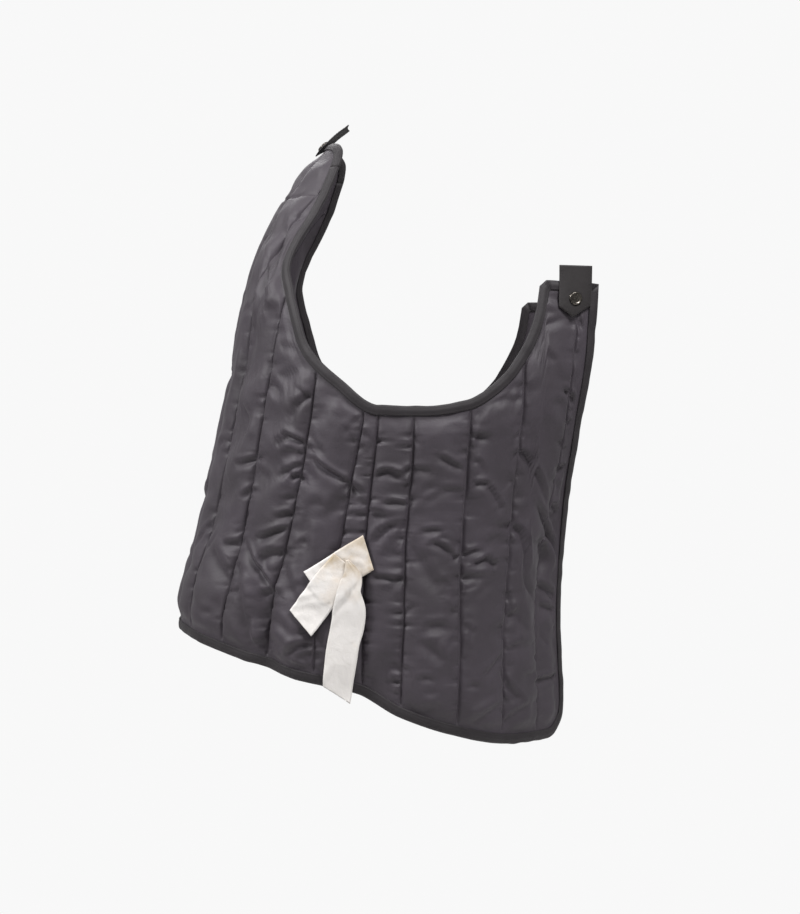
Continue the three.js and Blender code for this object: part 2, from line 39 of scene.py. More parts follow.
rng = np.random.default_rng(27)
mm = 0.001  # shapes are worked out in millimetres and put into meshes in metres

# The camera stands 2.3 m from the vest's right side, level with its middle.
view = {"place": (-2.3, -0.06, -0.376), "turn": (np.pi / 2, 0, -np.pi / 2), "lens": 78.77, "sensor": 36}
cameraData = bpy.data.cameras.new("camera")
cameraData.lens, cameraData.sensor_width = view["lens"], view["sensor"]
camera = bpy.data.objects.new("camera", cameraData)
camera.location, camera.rotation_euler = view["place"], view["turn"]
scene.collection.objects.link(camera)
scene.camera = camera

# Sections of the body. back: y of the centre back; half and frontHalf: half widths of the back and the
# fronts at their widest line, y = widestY; frontX and frontY: the open front edge. The map spans heights and
# aheads in steps of grid, from backSteps samples in each 45 degrees of the back and frontSteps along a front.
body = {
    "z": [14, 0, -34, -56, -86, -111, -150, -187, -231, -280, -330, -400, -465, -530, -575, -640, -700],
    "back": [-19, -4, 31, 48, 67, 82, 98, 110, 119, 127, 137, 152, 166, 185, 190, 190, 188],
    "half": [66, 72, 86, 97, 113, 130, 166, 189, 203, 208, 208, 206, 205, 208, 210, 210, 210],
    "frontHalf": [165, 165, 165, 165, 166, 167, 168, 171, 185, 199, 208, 206, 205, 208, 210, 210, 210],
    "frontX": [137, 137, 137, 137, 137, 137, 137, 137, 136, 132, 123, 100, 80, 69, 66, 65, 64],
    "frontY": [-278, -278, -277, -276, -276, -275, -275, -274, -271, -266, -257, -248, -241, -237, -237, -240,
               -240],
    "widestY": -60, "bend": 0.55, "past": 1.25,
    "grid": 2.0, "heights": (-720, 14), "aheads": (-430, 320), "backSteps": 48, "frontSteps": 96,
}


# Cubic between the rows of a table; each row's slope is the one between its two neighbours.
def smoothAt(keys, values, at):
    keys, values = np.array(keys, float), np.array(values, float)
    if keys[0] > keys[-1]:
        keys, values = keys[::-1], values[::-1]
    rise, run = np.diff(values), np.diff(keys)
    slope = np.concatenate([rise[:1] / run[:1], (values[2:] - values[:-2]) / (keys[2:] - keys[:-2]),
                            rise[-1:] / run[-1:]])
    at = np.clip(at, keys[0], keys[-1])
    i = np.clip(np.searchsorted(keys, at) - 1, 0, len(keys) - 2)
    t = (at - keys[i]) / run[i]
    bulge = (1 - t) ** 2 * t * slope[i] - t * t * (1 - t) * slope[i + 1]
    return values[i] + rise[i] * t * t * (3 - 2 * t) + run[i] * bulge


# The body as a map over height and distance ahead of the widest line. The back is a quarter ellipse,
# x = half sin a, y = widestY + (back - widestY) cos a; the front is the quadratic curve through
# x = (1 - t^2) frontHalf + t^2 frontX and y = (1 - t)^2 widestY + 2t (1 - t) bendY + t^2 frontY.
def makeBodyMap():
    zs = np.arange(*body["heights"], body["grid"])
    aheads = np.arange(*body["aheads"], body["grid"])
    names = ("back", "half", "frontHalf", "frontX", "frontY")
    back, half, frontHalf, frontX, frontY = (smoothAt(body["z"], body[name], zs)[:, None] for name in names)
    widest = body["widestY"]
    bendY = widest + body["bend"] * (frontY - widest)
    a = np.linspace(-np.pi / 4, np.pi / 2, 3 * body["backSteps"] + 1)[None]
    t = np.linspace(0, body["past"], round(body["past"] * body["frontSteps"]) + 1)[None]
    s = np.minimum(t, 1)  # past the open edge the curve runs straight on
    parts = [
        (half * np.sin(a), widest + (back - widest) * np.cos(a)),
        ((1 - s * s) * frontHalf + s * s * frontX + (t - s) * 2 * (frontX - frontHalf),
         (1 - s) ** 2 * widest + 2 * s * (1 - s) * bendY + s * s * frontY + (t - s) * 2 * (frontY - bendY)),
    ]
    arcs = [np.pad(np.cumsum(np.hypot(np.diff(x), np.diff(y)), axis=1), ((0, 0), (1, 0))) for x, y in parts]
    quarter = arcs[0][:, -1] - arcs[0][:, body["backSteps"]]
    reach = arcs[1][:, body["frontSteps"]]
    ahead = np.hstack([arcs[0] - arcs[0][:, -1:], arcs[1][:, 1:]])
    x, y = (np.hstack([parts[0][k], parts[1][k][:, 1:]]) for k in (0, 1))
    gridX = np.array([np.interp(aheads, row, values) for row, values in zip(ahead, x)])
    gridY = np.array([np.interp(aheads, row, values) for row, values in zip(ahead, y)])
    return {"z": zs, "x": gridX, "y": gridY, "first": (zs[0], aheads[0]), "quarter": quarter, "reach": reach}


bodyMap = makeBodyMap()


def quarterAt(z):  # arc from the centre back to the widest line
    return np.interp(z, bodyMap["z"], bodyMap["quarter"])


def reachAt(z):  # arc from the widest line to the open front edge
    return np.interp(z, bodyMap["z"], bodyMap["reach"])


def plainPoint(side, ahead, z):  # the body map between its four nearest entries
    side, ahead, z = np.broadcast_arrays(side, ahead, z)
    i = (z - bodyMap["first"][0]) / body["grid"]
    j = (ahead - bodyMap["first"][1]) / body["grid"]
    i0, j0 = i.astype(int), j.astype(int)
    u, v = i - i0, j - j0
    x, y = ((1 - u) * (1 - v) * g[i0, j0] + u * (1 - v) * g[i0 + 1, j0] + (1 - u) * v * g[i0, j0 + 1]
            + u * v * g[i0 + 1, j0 + 1] for g in (bodyMap["x"], bodyMap["y"]))
    return np.stack([side * x, y, z], -1)


def unit(vectors):  # each vector over its own length
    return vectors / np.maximum(np.linalg.norm(vectors, axis=-1, keepdims=True), 1e-9)


def runLength(path):  # length walked from a path's start to each of its points
    return np.append(0, np.cumsum(np.linalg.norm(np.diff(path, axis=0), axis=1)))


def alongPath(at, length, path):  # a path's values at lengths along it, straight between its points
    return np.stack([np.interp(at, length, values) for values in path.T], -1)


def bell(away):  # exp(-away^2)
    return np.exp(-away ** 2)


# Outward: the way up crossed with the way ahead, turned by the side.
def plainNormal(side, ahead, z, probe=3):
    forward = plainPoint(side, ahead + probe, z) - plainPoint(side, ahead - probe, z)
    up = plainPoint(side, ahead, z + probe) - plainPoint(side, ahead, z - probe)
    return unit(np.cross(up, forward) * np.asarray(side, float)[..., None])


# Folds of the hanging cloth, a ridge or a trough each: depth exp(-(across / wide)^2 - (along / long)^2).
# ahead and z: the middle; long and wide: half sizes; slant: degrees off upright.
folds = {
    "side":  [-1, -1, -1, -1, -1, -1, -1, 1, 1, 1, 1, 1, 1, -1, -1, -1, -1, -1, 1, 1, 1],
    "ahead": [-150, -112, 196, 150, -40, 66, -255, -135, -92, 188, 60, -30, -250,
              -194, -177, -160, -213, -226, -185, -168, -220],
    "z":     [-560, -575, -480, -455, -640, -600, -520, -550, -580, -500, -610, -620, -535,
              -190, -194, -202, -236, -262, -205, -196, -250],
    "long":  [70, 60, 75, 95, 45, 90, 90, 80, 55, 80, 80, 60, 80, 92, 84, 66, 86, 74, 80, 90, 76],
    "wide":  [17, 20, 14, 22, 26, 30, 24, 19, 21, 15, 28, 24, 22, 8, 7, 8, 8, 9, 8, 9, 9],
    "depth": [-9, 7, -8, 5, -6, 4, 5, -8, 6, -7, 5, -5, -5, 4, -4.5, 3, -4, 3, 3.5, -4, -3.5],
    "slant": [6, -4, -8, -14, 0, 8, 3, -5, 5, 9, -6, 4, -4, -22, -22, -20, -15, -13, -18, -21, -12],
}


def foldRise(side, ahead, z):  # the sum of all the folds at a place
    rise = 0
    other = -ahead - 2 * quarterAt(z)  # the same place, counted from the other side
    for k in range(len(folds["z"])):
        dx = np.where(folds["side"][k] == side, ahead, other) - folds["ahead"][k]
        dz = z - folds["z"][k]
        turn = np.radians(folds["slant"][k])
        across = (dx * np.cos(turn) + dz * np.sin(turn)) / folds["wide"][k]
        length = (dz * np.cos(turn) - dx * np.sin(turn)) / folds["long"][k]
        rise = rise + folds["depth"][k] * np.exp(-across ** 2 - length ** 2)
    return rise


def clothPoint(side, ahead, z, lift=0.0):  # the inside face of the cloth, moved out by lift
    side, ahead, z = np.broadcast_arrays(np.asarray(side, float), ahead, z)
    lift = np.asarray(lift) + foldRise(side, ahead, z)
    return plainPoint(side, ahead, z) + plainNormal(side, ahead, z) * lift[..., None]


# Finished edges on the cloth: heights against arc, or against distance ahead. inset: how far in the cut edge
# is; corner: radius at the lower front; neckArc: half the neck; hemLevel: where the hem's arcs are taken.
edges = {
    "backTop": ([0, 40, 66, 80, 92, 105, 116, 125, 136, 154, 171, 186, 199, 213, 231, 253, 277, 295, 330],
                [-18, -21, -29, -42, -62, -87, -112, -142, -167, -189, -210, -231, -252, -267, -281, -296,
                 -314, -322, -323]),
    "armhole": ([-60, -22, 31, 64, 78, 94, 111, 127, 139, 147, 152],
                [-321, -322, -323, -318, -314, -304, -290, -269, -246, -222, -187]),
    "hem": ([0, 90, 150, 210, 270, 321, 363, 423, 483, 540, 660],
            [-569, -575, -586, -599, -614, -625, -648, -669, -682, -685, -685]),
    "hemLevel": -650, "strapTop": -187, "corner": 40, "neckArc": 78, "inset": 7.7,
}
hemQuarter, hemReach = float(quarterAt(edges["hemLevel"])), float(reachAt(edges["hemLevel"]))


def insetCurve(name, inset, steps=160):  # the curve moved in by inset, square to its own run
    keys, heights = edges[name]
    key = np.linspace(keys[0], keys[-1], steps + 1)
    z = smoothAt(keys, heights, key)
    run = np.diff(np.pad(np.stack([key, z]), ((0, 0), (1, 1)), mode="edge"), axis=1)
    run = unit((run[:, :-1] + run[:, 1:]).T)
    return np.maximum.accumulate(key + inset * run[:, 1]), z - inset * run[:, 0]


cutTop, cutArmhole = insetCurve("backTop", edges["inset"]), insetCurve("armhole", edges["inset"])


def hemHeight(ahead):  # the cut hem, with a quarter circle at the lower front corner
    radius = edges["corner"] - edges["inset"]
    past = np.maximum(ahead - (hemReach - edges["corner"]), 0)
    rise = radius - np.sqrt(np.maximum(radius ** 2 - past ** 2, 0))
    return smoothAt(*edges["hem"], ahead + hemQuarter) + edges["inset"] + rise


# Quilting: stitched lines 60 mm apart over down.
quilt = {
    "levels": [0, -322, -465, -640, -720],  # the heights at which the next three are given
    "behind": [22, 22, 36, 41, 43],  # the side seam, behind the widest line
    "line": [10, 15, 6, 1, 1],  # the front's first line, ahead of it
    "spread": [0.6, 1.1, 0.6, 0, 0],  # how much of drift the back's lines take
    "backLines": [30, 90, 150, 210, 270], "drift": [0, 0, 3, 10, 9],
    "channel": 60, "frontLines": 4, "seamGap": 0.04, "wobble": 0.5,
    "shell": 2.2, "puff": 5.6, "round": 0.6,  # the stitched wall; how high and how round a channel rises
    "flat": 4, "fade": 25,  # how far from an edge the rise starts and is full
    "groove": 2.0, "grooveWidth": 1.35,  # how deep the thread pulls in, and how far round it
    "inward": 0.4, "innerGroove": 0.35,  # shares of the rise and the groove that are on the inside
    "crowd": 0.55, "cornerCrowd": 0.6, "cornerEnd": 1.4,  # how much closer the columns stand at a line
    "strapLine": 3.485,  # the strap's upper back corner, in lines and shares
    "ends": (-640.0, -310.0), "rounds": 6,  # first heights of hem and top, and how often they are corrected
    "cells": 30, "wedgeCells": 14, "cornerCells": 40, "backRows": 290, "frontRows": 280,
    "simCells": 10, "simWedge": 5, "simCorner": 13, "simBackRows": 100, "simFrontRows": 88,
}
# Tabs: top is the height of the upper end, snap how far down its snap is, and tip the point's place across.
tabs = {
    "front": {"ahead": 190, "top": -170, "length": 56, "point": 13, "tip": 0.45, "snap": 36, "flat": 24},
    "back": {"ahead": None, "top": -1, "length": 34, "point": 9, "tip": 0.5, "snap": 24, "flat": 24},
    "width": 37, "depth": 1.8, "across": 24, "down": 36,
    "press": 0.75,  # how much a snap presses the filling down, over flat
    "least": 3.5, "clear": 0.4,  # the underside's lowest height, and its gap to what is below
    "near": 7, "reach": 12, "hold": 6,  # mm looked at, mm held level at the snap, rows a height is kept for
    "edgeRoll": 0.55, "edgeWidth": 2.2, "underRoll": 0.3,
    "seams": (2.6, 5.4), "tipInset": 1.15, "seamDip": 0.25, "seamAt": 3.6, "seamWidth": 0.9,
}


def seamAt(z):  # distance ahead of the side seam, cubic between its levels
    return -smoothAt(quilt["levels"], quilt["behind"], z)


def tabAhead(tab, z):  # distance ahead of a tab's middle: its own, or the centre back
    return -quarterAt(z) if tab["ahead"] is None else np.full(np.shape(z), float(tab["ahead"]))


def pressed(ahead, z):  # 1 on free cloth, falling to a quarter under each snap
    flat = 1.0
    for tab in (tabs["front"], tabs["back"]):
        dx, dz = ahead - tabAhead(tab, z), z - (tab["top"] - tab["snap"])
        flat = flat - tabs["press"] * np.exp(-(dx ** 2 + dz ** 2) / tab["flat"] ** 2)
    return flat


def smoothStep(low, high, at):  # t^2 (3 - 2t), where t goes from 0 at low to 1 at high
    t = np.clip((at - low) / (high - low), 0, 1)
    return t * t * (3 - 2 * t)


# Positions of a panel's lines at height z, from one side of the panel to the other, each wandering
# by wobble (sin(z / 23 + 1.7 k) + 0.5 sin(z / 9 + 2.9 k)).
def wander(z, number):
    k = np.arange(number)
    return quilt["wobble"] * (np.sin(z[..., None] / 23 + 1.7 * k) + 0.5 * np.sin(z[..., None] / 9 + 2.9 * k))


def backLinesAt(z):  # both seams and the ten lines between them, as arcs from the centre back
    ends = (quarterAt(z) + seamAt(z) - quilt["seamGap"] / 2)[..., None]
    spread = smoothAt(quilt["levels"], quilt["spread"], z)[..., None]
    half = np.array(quilt["backLines"]) + np.array(quilt["drift"]) * spread
    drawn = np.concatenate([-half[..., ::-1], half], -1)
    return np.concatenate([-ends, drawn + wander(z, drawn.shape[-1]), ends], -1)


def frontLinesAt(z):  # the seam, four lines a channel apart and the cut front edge, as distances ahead
    first = smoothAt(quilt["levels"], quilt["line"], z)[..., None]
    drawn = first + quilt["channel"] * np.arange(quilt["frontLines"])
    start = (seamAt(z) + quilt["seamGap"] / 2)[..., None]
    drawn = drawn + wander(z, quilt["frontLines"])
    return np.concatenate([start, drawn, (reachAt(z) - edges["inset"])[..., None]], -1)


# Shares of the way across an interval, closer together at both lines: 1 - (1 - s)^end, where
# s = t - crowd sin(2 pi t) / (2 pi).
def shares(cells, crowd, end=1.0):
    t = np.linspace(0, 1, cells + 1)
    return 1 - (1 - (t - crowd * np.sin(2 * np.pi * t) / (2 * np.pi))) ** end


# A panel is laid out as columns across its intervals, each with rows from its hem to its top. The rise of a
# filled channel is puff sin(pi share)^round, less near an edge, in a narrow channel and under a snap.
def layPanel(name, intervals, rows):
    back = name == "backPanel"
    side = 1.0 if name == "frontLeft" else -1.0
    linesAt = backLinesAt if back else frontLinesAt
    left = np.concatenate([np.full(len(s) - 1, k) for k, s in enumerate(intervals)] + [[len(intervals) - 1]])
    share = np.concatenate([s[:-1] for s in intervals] + [[1.0]])
    strap = 2 * int(np.argmin(np.abs((left + share)[::2] - quilt["strapLine"])))

    def place(z):  # each column's place at heights z, its share of the way between two lines, and their gap
        at = linesAt(z)
        tail = (1,) * (z.ndim - 1)
        pick = left.reshape((-1,) + tail) * np.ones(z.shape, int)
        start = np.take_along_axis(at, pick[..., None], -1)[..., 0]
        stop = np.take_along_axis(at, pick[..., None] + 1, -1)[..., 0]
        return start + share.reshape((-1,) + tail) * (stop - start), stop - start

    low, high = (np.full(left.size, guess) for guess in quilt["ends"])
    for _ in range(quilt["rounds"]):
        at = place(low)[0]
        low = hemHeight(np.abs(at) - hemQuarter) if back else hemHeight(at * hemReach / reachAt(low))
        at = place(high)[0]
        if back:
            high = np.interp(np.abs(at), *cutTop)
        else:
            top = edges["strapTop"] - edges["inset"]
            high = np.where(np.arange(left.size) >= strap, top, np.minimum(np.interp(at, *cutArmhole), top))
    z = low[:, None] + (high - low)[:, None] * np.linspace(0, 1, rows + 1)[None]
    at, width = place(z)
    if back:
        side = np.where(at < 0, -1.0, 1.0)
        ahead = np.abs(at) - quarterAt(z)
    else:
        side, ahead = np.full(z.shape, side), at
    toEdge = np.minimum(z - z[:, :1], z[:, -1:] - z)
    if not back:
        toEdge = np.where((left == len(intervals) - 1)[:, None],
                          np.minimum(toEdge, (1 - share[:, None]) * width), toEdge)
    toLine = np.minimum(share, 1 - share)[:, None] * width
    filled = smoothStep(quilt["flat"], quilt["fade"], toEdge) * np.minimum(width / quilt["channel"], 1)
    filled = filled * pressed(ahead, z)
    stitched = np.broadcast_to(((share == 0) & (left > 0))[:, None], z.shape).copy()
    return {"left": left, "share": share, "strap": strap, "side": side, "ahead": ahead, "z": z,
            "rise": quilt["puff"] * np.maximum(np.sin(np.pi * share), 0)[:, None] ** quilt["round"] * filled,
            "toLine": toLine, "toEdge": toEdge, "stitched": stitched, "wide": width,
            "arc": at if back else side * (ahead + quarterAt(z))}


def intervalsOf(name, cells, wedge, corner, crowd):  # wedges at the seams, channels, and the front's edge
    ends = [shares(wedge, crowd)]
    if name == "backPanel":
        return ends + [shares(cells, crowd)] * (2 * len(quilt["backLines"]) - 1) + ends
    return (ends + [shares(cells, crowd)] * (quilt["frontLines"] - 1)
            + [shares(corner, quilt["cornerCrowd"] * crowd, quilt["cornerEnd"])])


# Rows that turn values on coarse lines into values on fine ones: Catmull-Rom inside each interval.
def blendRows(coarseAt, fineAt, breaks):
    start = np.clip(np.searchsorted(coarseAt, fineAt, side="right") - 1, 0, len(coarseAt) - 2)
    t = (fineAt - coarseAt[start]) / (coarseAt[start + 1] - coarseAt[start])
    weights = np.stack([-0.5 * t + t * t - 0.5 * t ** 3, 1 - 2.5 * t * t + 1.5 * t ** 3,
                        0.5 * t + 2 * t * t - 1.5 * t ** 3, -0.5 * t * t + 0.5 * t ** 3])
    first = breaks[np.searchsorted(breaks, start, side="right") - 1]
    last = breaks[np.minimum(np.searchsorted(breaks, start, side="right"), len(breaks) - 1)]
    matrix = np.zeros((len(fineAt), len(coarseAt)))
    for k in range(4):
        np.add.at(matrix, (np.arange(len(fineAt)), np.clip(start + k - 1, first, last)), weights[k])
    return matrix


# Faces of a grid, of two grids joined round their rims, and of rings carried along a path: each face takes
# the numbers of four neighbouring points.
def gridFaces(columns, rows, first=0):
    a = first + np.arange(columns)[:, None] * (rows + 1) + np.arange(rows)[None]
    return np.stack([a, a + rows + 1, a + rows + 2, a + 1], -1).reshape(-1, 4)


def pointNumbers(columns, rows, first=0):  # counted up from first along each column
    return first + np.arange((columns + 1) * (rows + 1)).reshape(columns + 1, rows + 1)


def rimOf(at):  # once round the rim of a grid's numbers
    return np.concatenate([at[:-1, 0], at[-1, :-1], at[:0:-1, -1], at[0, :0:-1]])


def shellFaces(columns, rows):  # two grids, the second one turned over, and the band between their rims
    at = pointNumbers(columns, rows)
    rim = rimOf(at)
    after = np.roll(rim, -1)
    return np.concatenate([gridFaces(columns, rows), gridFaces(columns, rows, at.size)[:, ::-1],
                           np.stack([after, rim, rim + at.size, after + at.size], -1)])


def panelFaces(columns, rows):  # a fine grid outside, and inside it one of every second column and row
    fine = pointNumbers(columns, rows)
    coarse = pointNumbers(columns // 2, rows // 2, fine.size)
    outerRim, innerRim = rimOf(fine), rimOf(coarse)
    first, between, last = outerRim[::2], outerRim[1::2], np.roll(outerRim, -2)[::2]
    after = np.roll(innerRim, -1)
    return [gridFaces(columns, rows), gridFaces(columns // 2, rows // 2, fine.size)[:, ::-1],
            np.stack([between, first, innerRim, after], -1), np.stack([last, between, after], -1)]


def tubeFaces(rings, around):  # each ring joined to the next one
    a = np.arange(rings - 1)[:, None] * around + np.arange(around)[None]
    b = np.arange(rings - 1)[:, None] * around + (np.arange(around)[None] + 1) % around
    return np.stack([a, b, b + around, a + around], -1).reshape(-1, 4)


# A mesh object at the origin. Its volume is the sum of each triangle's triple product a x b . c over 6, and
# its faces are turned round where that is negative.
def closedMesh(name, points, faces, uv=None):
    points = np.asarray(points, float).reshape(-1, 3)
    groups = faces if isinstance(faces, list) else [faces]
    volume = 0
    for group in groups:
        fan = points[group] - points.mean(0)
        for k in range(1, group.shape[1] - 1):
            volume += (np.cross(fan[:, 0], fan[:, k]) * fan[:, k + 1]).sum()
    turned = slice(None, None, -1 if volume < 0 else 1)
    mesh = bpy.data.meshes.new(name)
    mesh.from_pydata((points * mm).tolist(), [], sum((group[:, turned].tolist() for group in groups), []))
    if uv is not None:
        index = np.empty(len(mesh.loops), np.int32)
        mesh.loops.foreach_get("vertex_index", index)
        corners = (np.asarray(uv, float).reshape(-1, 2) * mm)[index]
        mesh.uv_layers.new(name="cloth").data.foreach_set("uv", corners.astype(np.float32).ravel())
    mesh.polygons.foreach_set("use_smooth", np.ones(len(mesh.polygons), bool))
    mesh.update()
    obj = bpy.data.objects.new(name, mesh)
    scene.collection.objects.link(obj)
    return obj


# Finishing a piece: it rides on the one body, takes a material, and stands for its solids.
def finishPiece(obj, material, replaces=()):
    obj.data.materials.append(material)
    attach(obj, "root")
    if replaces:
        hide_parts(*replaces)
    return obj


# sRGB hex to linear: ((c + 0.055) / 1.055)^2.4, or c / 12.92 when dark.
def linear(hexColour):
    c = np.array([int(hexColour[i:i + 2], 16) for i in (1, 3, 5)]) / 255
    return (*np.where(c <= 0.04045, c / 12.92, ((c + 0.055) / 1.055) ** 2.4).tolist(), 1.0)


# One node: its properties or socket values, the outputs that feed it, and its colour stops (place, hex).
def addNode(tree, kind, settings=None, links=None, stops=()):
    node = tree.nodes.new("ShaderNode" + kind)
    for name, value in (settings or {}).items():
        if hasattr(node, name):
            setattr(node, name, value)
        else:
            node.inputs[name].default_value = value
    for name, output in (links or {}).items():
        tree.links.new(output, node.inputs[name])
    for number, (position, colour) in enumerate(stops):
        if number > 1:
            node.color_ramp.elements.new(position)
        node.color_ramp.elements[number].position = position
        node.color_ramp.elements[number].color = linear(colour)
    return node


def startMaterial(name, settings):  # a new material, with constants on its shader's own sockets
    material = bpy.data.materials.new(name)
    material.use_nodes = True
    tree = material.node_tree
    shader = tree.nodes["Principled BSDF"]
    for socket, value in settings.items():
        shader.inputs[socket].default_value = value
    return material, tree, shader


# A wave texture of scale 1 repeats every 0.314 m, so threads t m apart take the scale 0.314 / t.
waveRepeat = 2 * np.pi / 20
relief = {"crinkle": 0.14, "thread": 0.2}  # heights of bumps, as shares of the sizes of crinkles and threads
staining = {"start": 0.3, "stained": -0.07, "clean": 0.35}  # it begins to fade at the share start of clean


# Woven cloth in general: warp and weft as two sets of bands, over soft crinkles. thread: spacing in mm;
# weave and crinkle: bump strengths; crinkleSize in mm; shade: hex stops, dark to light; clean: how far a
# stain reaches from the upper end, mm.
def wovenCloth(name, look, shader):
    material, tree, principled = startMaterial(name, shader)
    place = addNode(tree, "UVMap", {"uv_map": "cloth"}).outputs["UV"]
    mottle = addNode(tree, "TexNoise", {"Scale": 1000 / look["mottleSize"], "Detail": 4.0, "Roughness": 0.6},
                     {"Vector": place}).outputs["Fac"]
    if "clean" in look:
        down = addNode(tree, "SeparateXYZ", {}, {"Vector": place}).outputs["Y"]
        end = -look["clean"] * mm
        fade = addNode(tree, "MapRange", {"From Min": staining["start"] * end, "From Max": end,
                                          "To Min": staining["stained"], "To Max": staining["clean"]},
                       {"Value": down}).outputs["Result"]
        mottle = addNode(tree, "Math", {"operation": "ADD"}, {0: mottle, 1: fade}).outputs["Value"]
    shade = addNode(tree, "ValToRGB", {}, {"Fac": mottle}, look["shade"]).outputs["Color"]
    tree.links.new(shade, principled.inputs["Base Color"])
    crinkle = addNode(tree, "TexNoise", {"Scale": 1000 / look["crinkleSize"], "Detail": 5.0,
                                         "Roughness": 0.62, "Distortion": 0.6}, {"Vector": place})
    bump = addNode(tree, "Bump", {"Strength": look["crinkle"],
                                  "Distance": look["crinkleSize"] * relief["crinkle"] * mm},
                   {"Height": crinkle.outputs["Fac"]})
    for way in look["ways"]:
        band = addNode(tree, "TexWave", {"bands_direction": way, "Scale": waveRepeat / (look["thread"] * mm),
                                         "Distortion": 1.2, "Detail": 1.0, "Detail Scale": 2.0},
                       {"Vector": place})
        bump = addNode(tree, "Bump", {"Strength": look["weave"],
                                      "Distance": look["thread"] * relief["thread"] * mm},
                       {"Height": band.outputs["Fac"], "Normal": bump.outputs["Normal"]})
    tree.links.new(bump.outputs["Normal"], principled.inputs["Normal"])
    return material


# Nylon taffeta, woven from fine filament and calendered: smooth and dark, with a soft satin sheen where
# it turns away. Its threads are 0.15 mm apart, too fine to show, so the weave is drawn ten times coarser.
taffeta = wovenCloth(
    "nylonTaffeta",
    {"thread": 1.5, "weave": 0.06, "ways": ("X", "Y"), "crinkleSize": 12.0, "crinkle": 0.26, "mottleSize": 70,
     "shade": [(0.3, "#3a353a"), (0.7, "#423c43")]},
    {"Roughness": 0.58, "IOR": 1.45, "Specular IOR Level": 0.42,
     "Sheen Weight": 0.06, "Sheen Roughness": 0.4})
# Nylon binding tape, folded over the cut edges: duller and a little browner, with fine ribs across it.
bindingTape = wovenCloth(
    "nylonBindingTape",
    {"thread": 1.2, "weave": 0.3, "ways": ("X",), "crinkleSize": 5.0, "crinkle": 0.3, "mottleSize": 30,
     "shade": [(0.3, "#231f22"), (0.7, "#2b272a")]},
    {"Roughness": 0.62, "IOR": 1.45, "Specular IOR Level": 0.42,
     "Sheen Weight": 0.05, "Sheen Roughness": 0.5})
# Polyester twill: near black and matt, of 0.9 mm yarn, with diagonal ribs 1.3 mm apart.
twill = wovenCloth(
    "polyesterTwill",
    {"thread": 0.9, "weave": 0.35, "ways": ("DIAGONAL",), "crinkleSize": 7.0, "crinkle": 0.3,
     "mottleSize": 25, "shade": [(0.3, "#1f1b1c"), (0.7, "#282425")]},
    {"Roughness": 0.6, "IOR": 1.45, "Specular IOR Level": 0.42,
     "Sheen Weight": 0.06, "Sheen Roughness": 0.5})
# Woven satin ribbon: off-white, softly glossy along the strip, with a faint tan stain.
ribbon = wovenCloth(
    "satinRibbon",
    {"thread": 0.9, "weave": 0.15, "ways": ("Y",), "crinkleSize": 9.0, "crinkle": 0.5, "mottleSize": 34,
     "clean": 55, "shade": [(0.34, "#bba98f"), (0.52, "#d6cec6"), (0.72, "#dedad7")]},
    {"Roughness": 0.55, "IOR": 1.45, "Sheen Weight": 0.05, "Sheen Roughness": 0.3})
# Spun polyester thread: matt, a shade darker than the cloth it pulls in.
thread = startMaterial("polyesterThread", {"Base Color": linear("#221f23"), "Roughness": 0.7, "IOR": 1.5})[0]
# Brass plated with dark nickel, pressed and tumbled: a dim mirror, rubbed brighter in scuffs of 1.6 mm.
nickel, nickelTree, nickelShader = startMaterial("darkNickel", {"Metallic": 1.0, "Roughness": 0.3})
scuffs = addNode(nickelTree, "TexNoise", {"Scale": 1000 / 1.6, "Detail": 6.0},
                 {"Vector": addNode(nickelTree, "TexCoord").outputs["Object"]}).outputs["Fac"]
rubbed = addNode(nickelTree, "ValToRGB", {}, {"Fac": scuffs}, [(0.35, "#3b3835"), (0.65, "#6b6660")])
dulled = addNode(nickelTree, "MapRange", {"To Min": 0.22, "To Max": 0.42}, {"Value": scuffs})
nickelTree.links.new(rubbed.outputs["Color"], nickelShader.inputs["Base Color"])
nickelTree.links.new(dulled.outputs["Result"], nickelShader.inputs["Roughness"])
print("materials made")

# Down pushing the channels out: cloth held at its stitching, with a twentieth more cloth than its seams.
# most: cap on the movement, mm; keep: share of the puff that it starts from; ripple: its first unevenness.
filling = {
    "frames": 26, "most": 3.0, "keep": 0.85, "ripple": 0.2, "evened": 2,
    "cloth": {"quality": 5, "mass": 0.03, "bending_stiffness": 0.8, "tension_stiffness": 15,
              "compression_stiffness": 15, "shear_stiffness": 5, "vertex_group_mass": "stitched",
              "shrink_min": -0.05, "use_pressure": True, "uniform_pressure_force": 2.0},
}


# Each value with its neighbours along an axis: middle of itself, and half of the rest from either side.
def evened(values, axis, middle):
    wide = np.pad(values, [(1, 1) if k == axis else (0, 0) for k in range(values.ndim)], mode="edge")
    before, after = (np.take(wide, np.arange(values.shape[axis]) + k, axis) for k in (0, 2))
    return (1 - middle) / 2 * before + middle * values + (1 - middle) / 2 * after


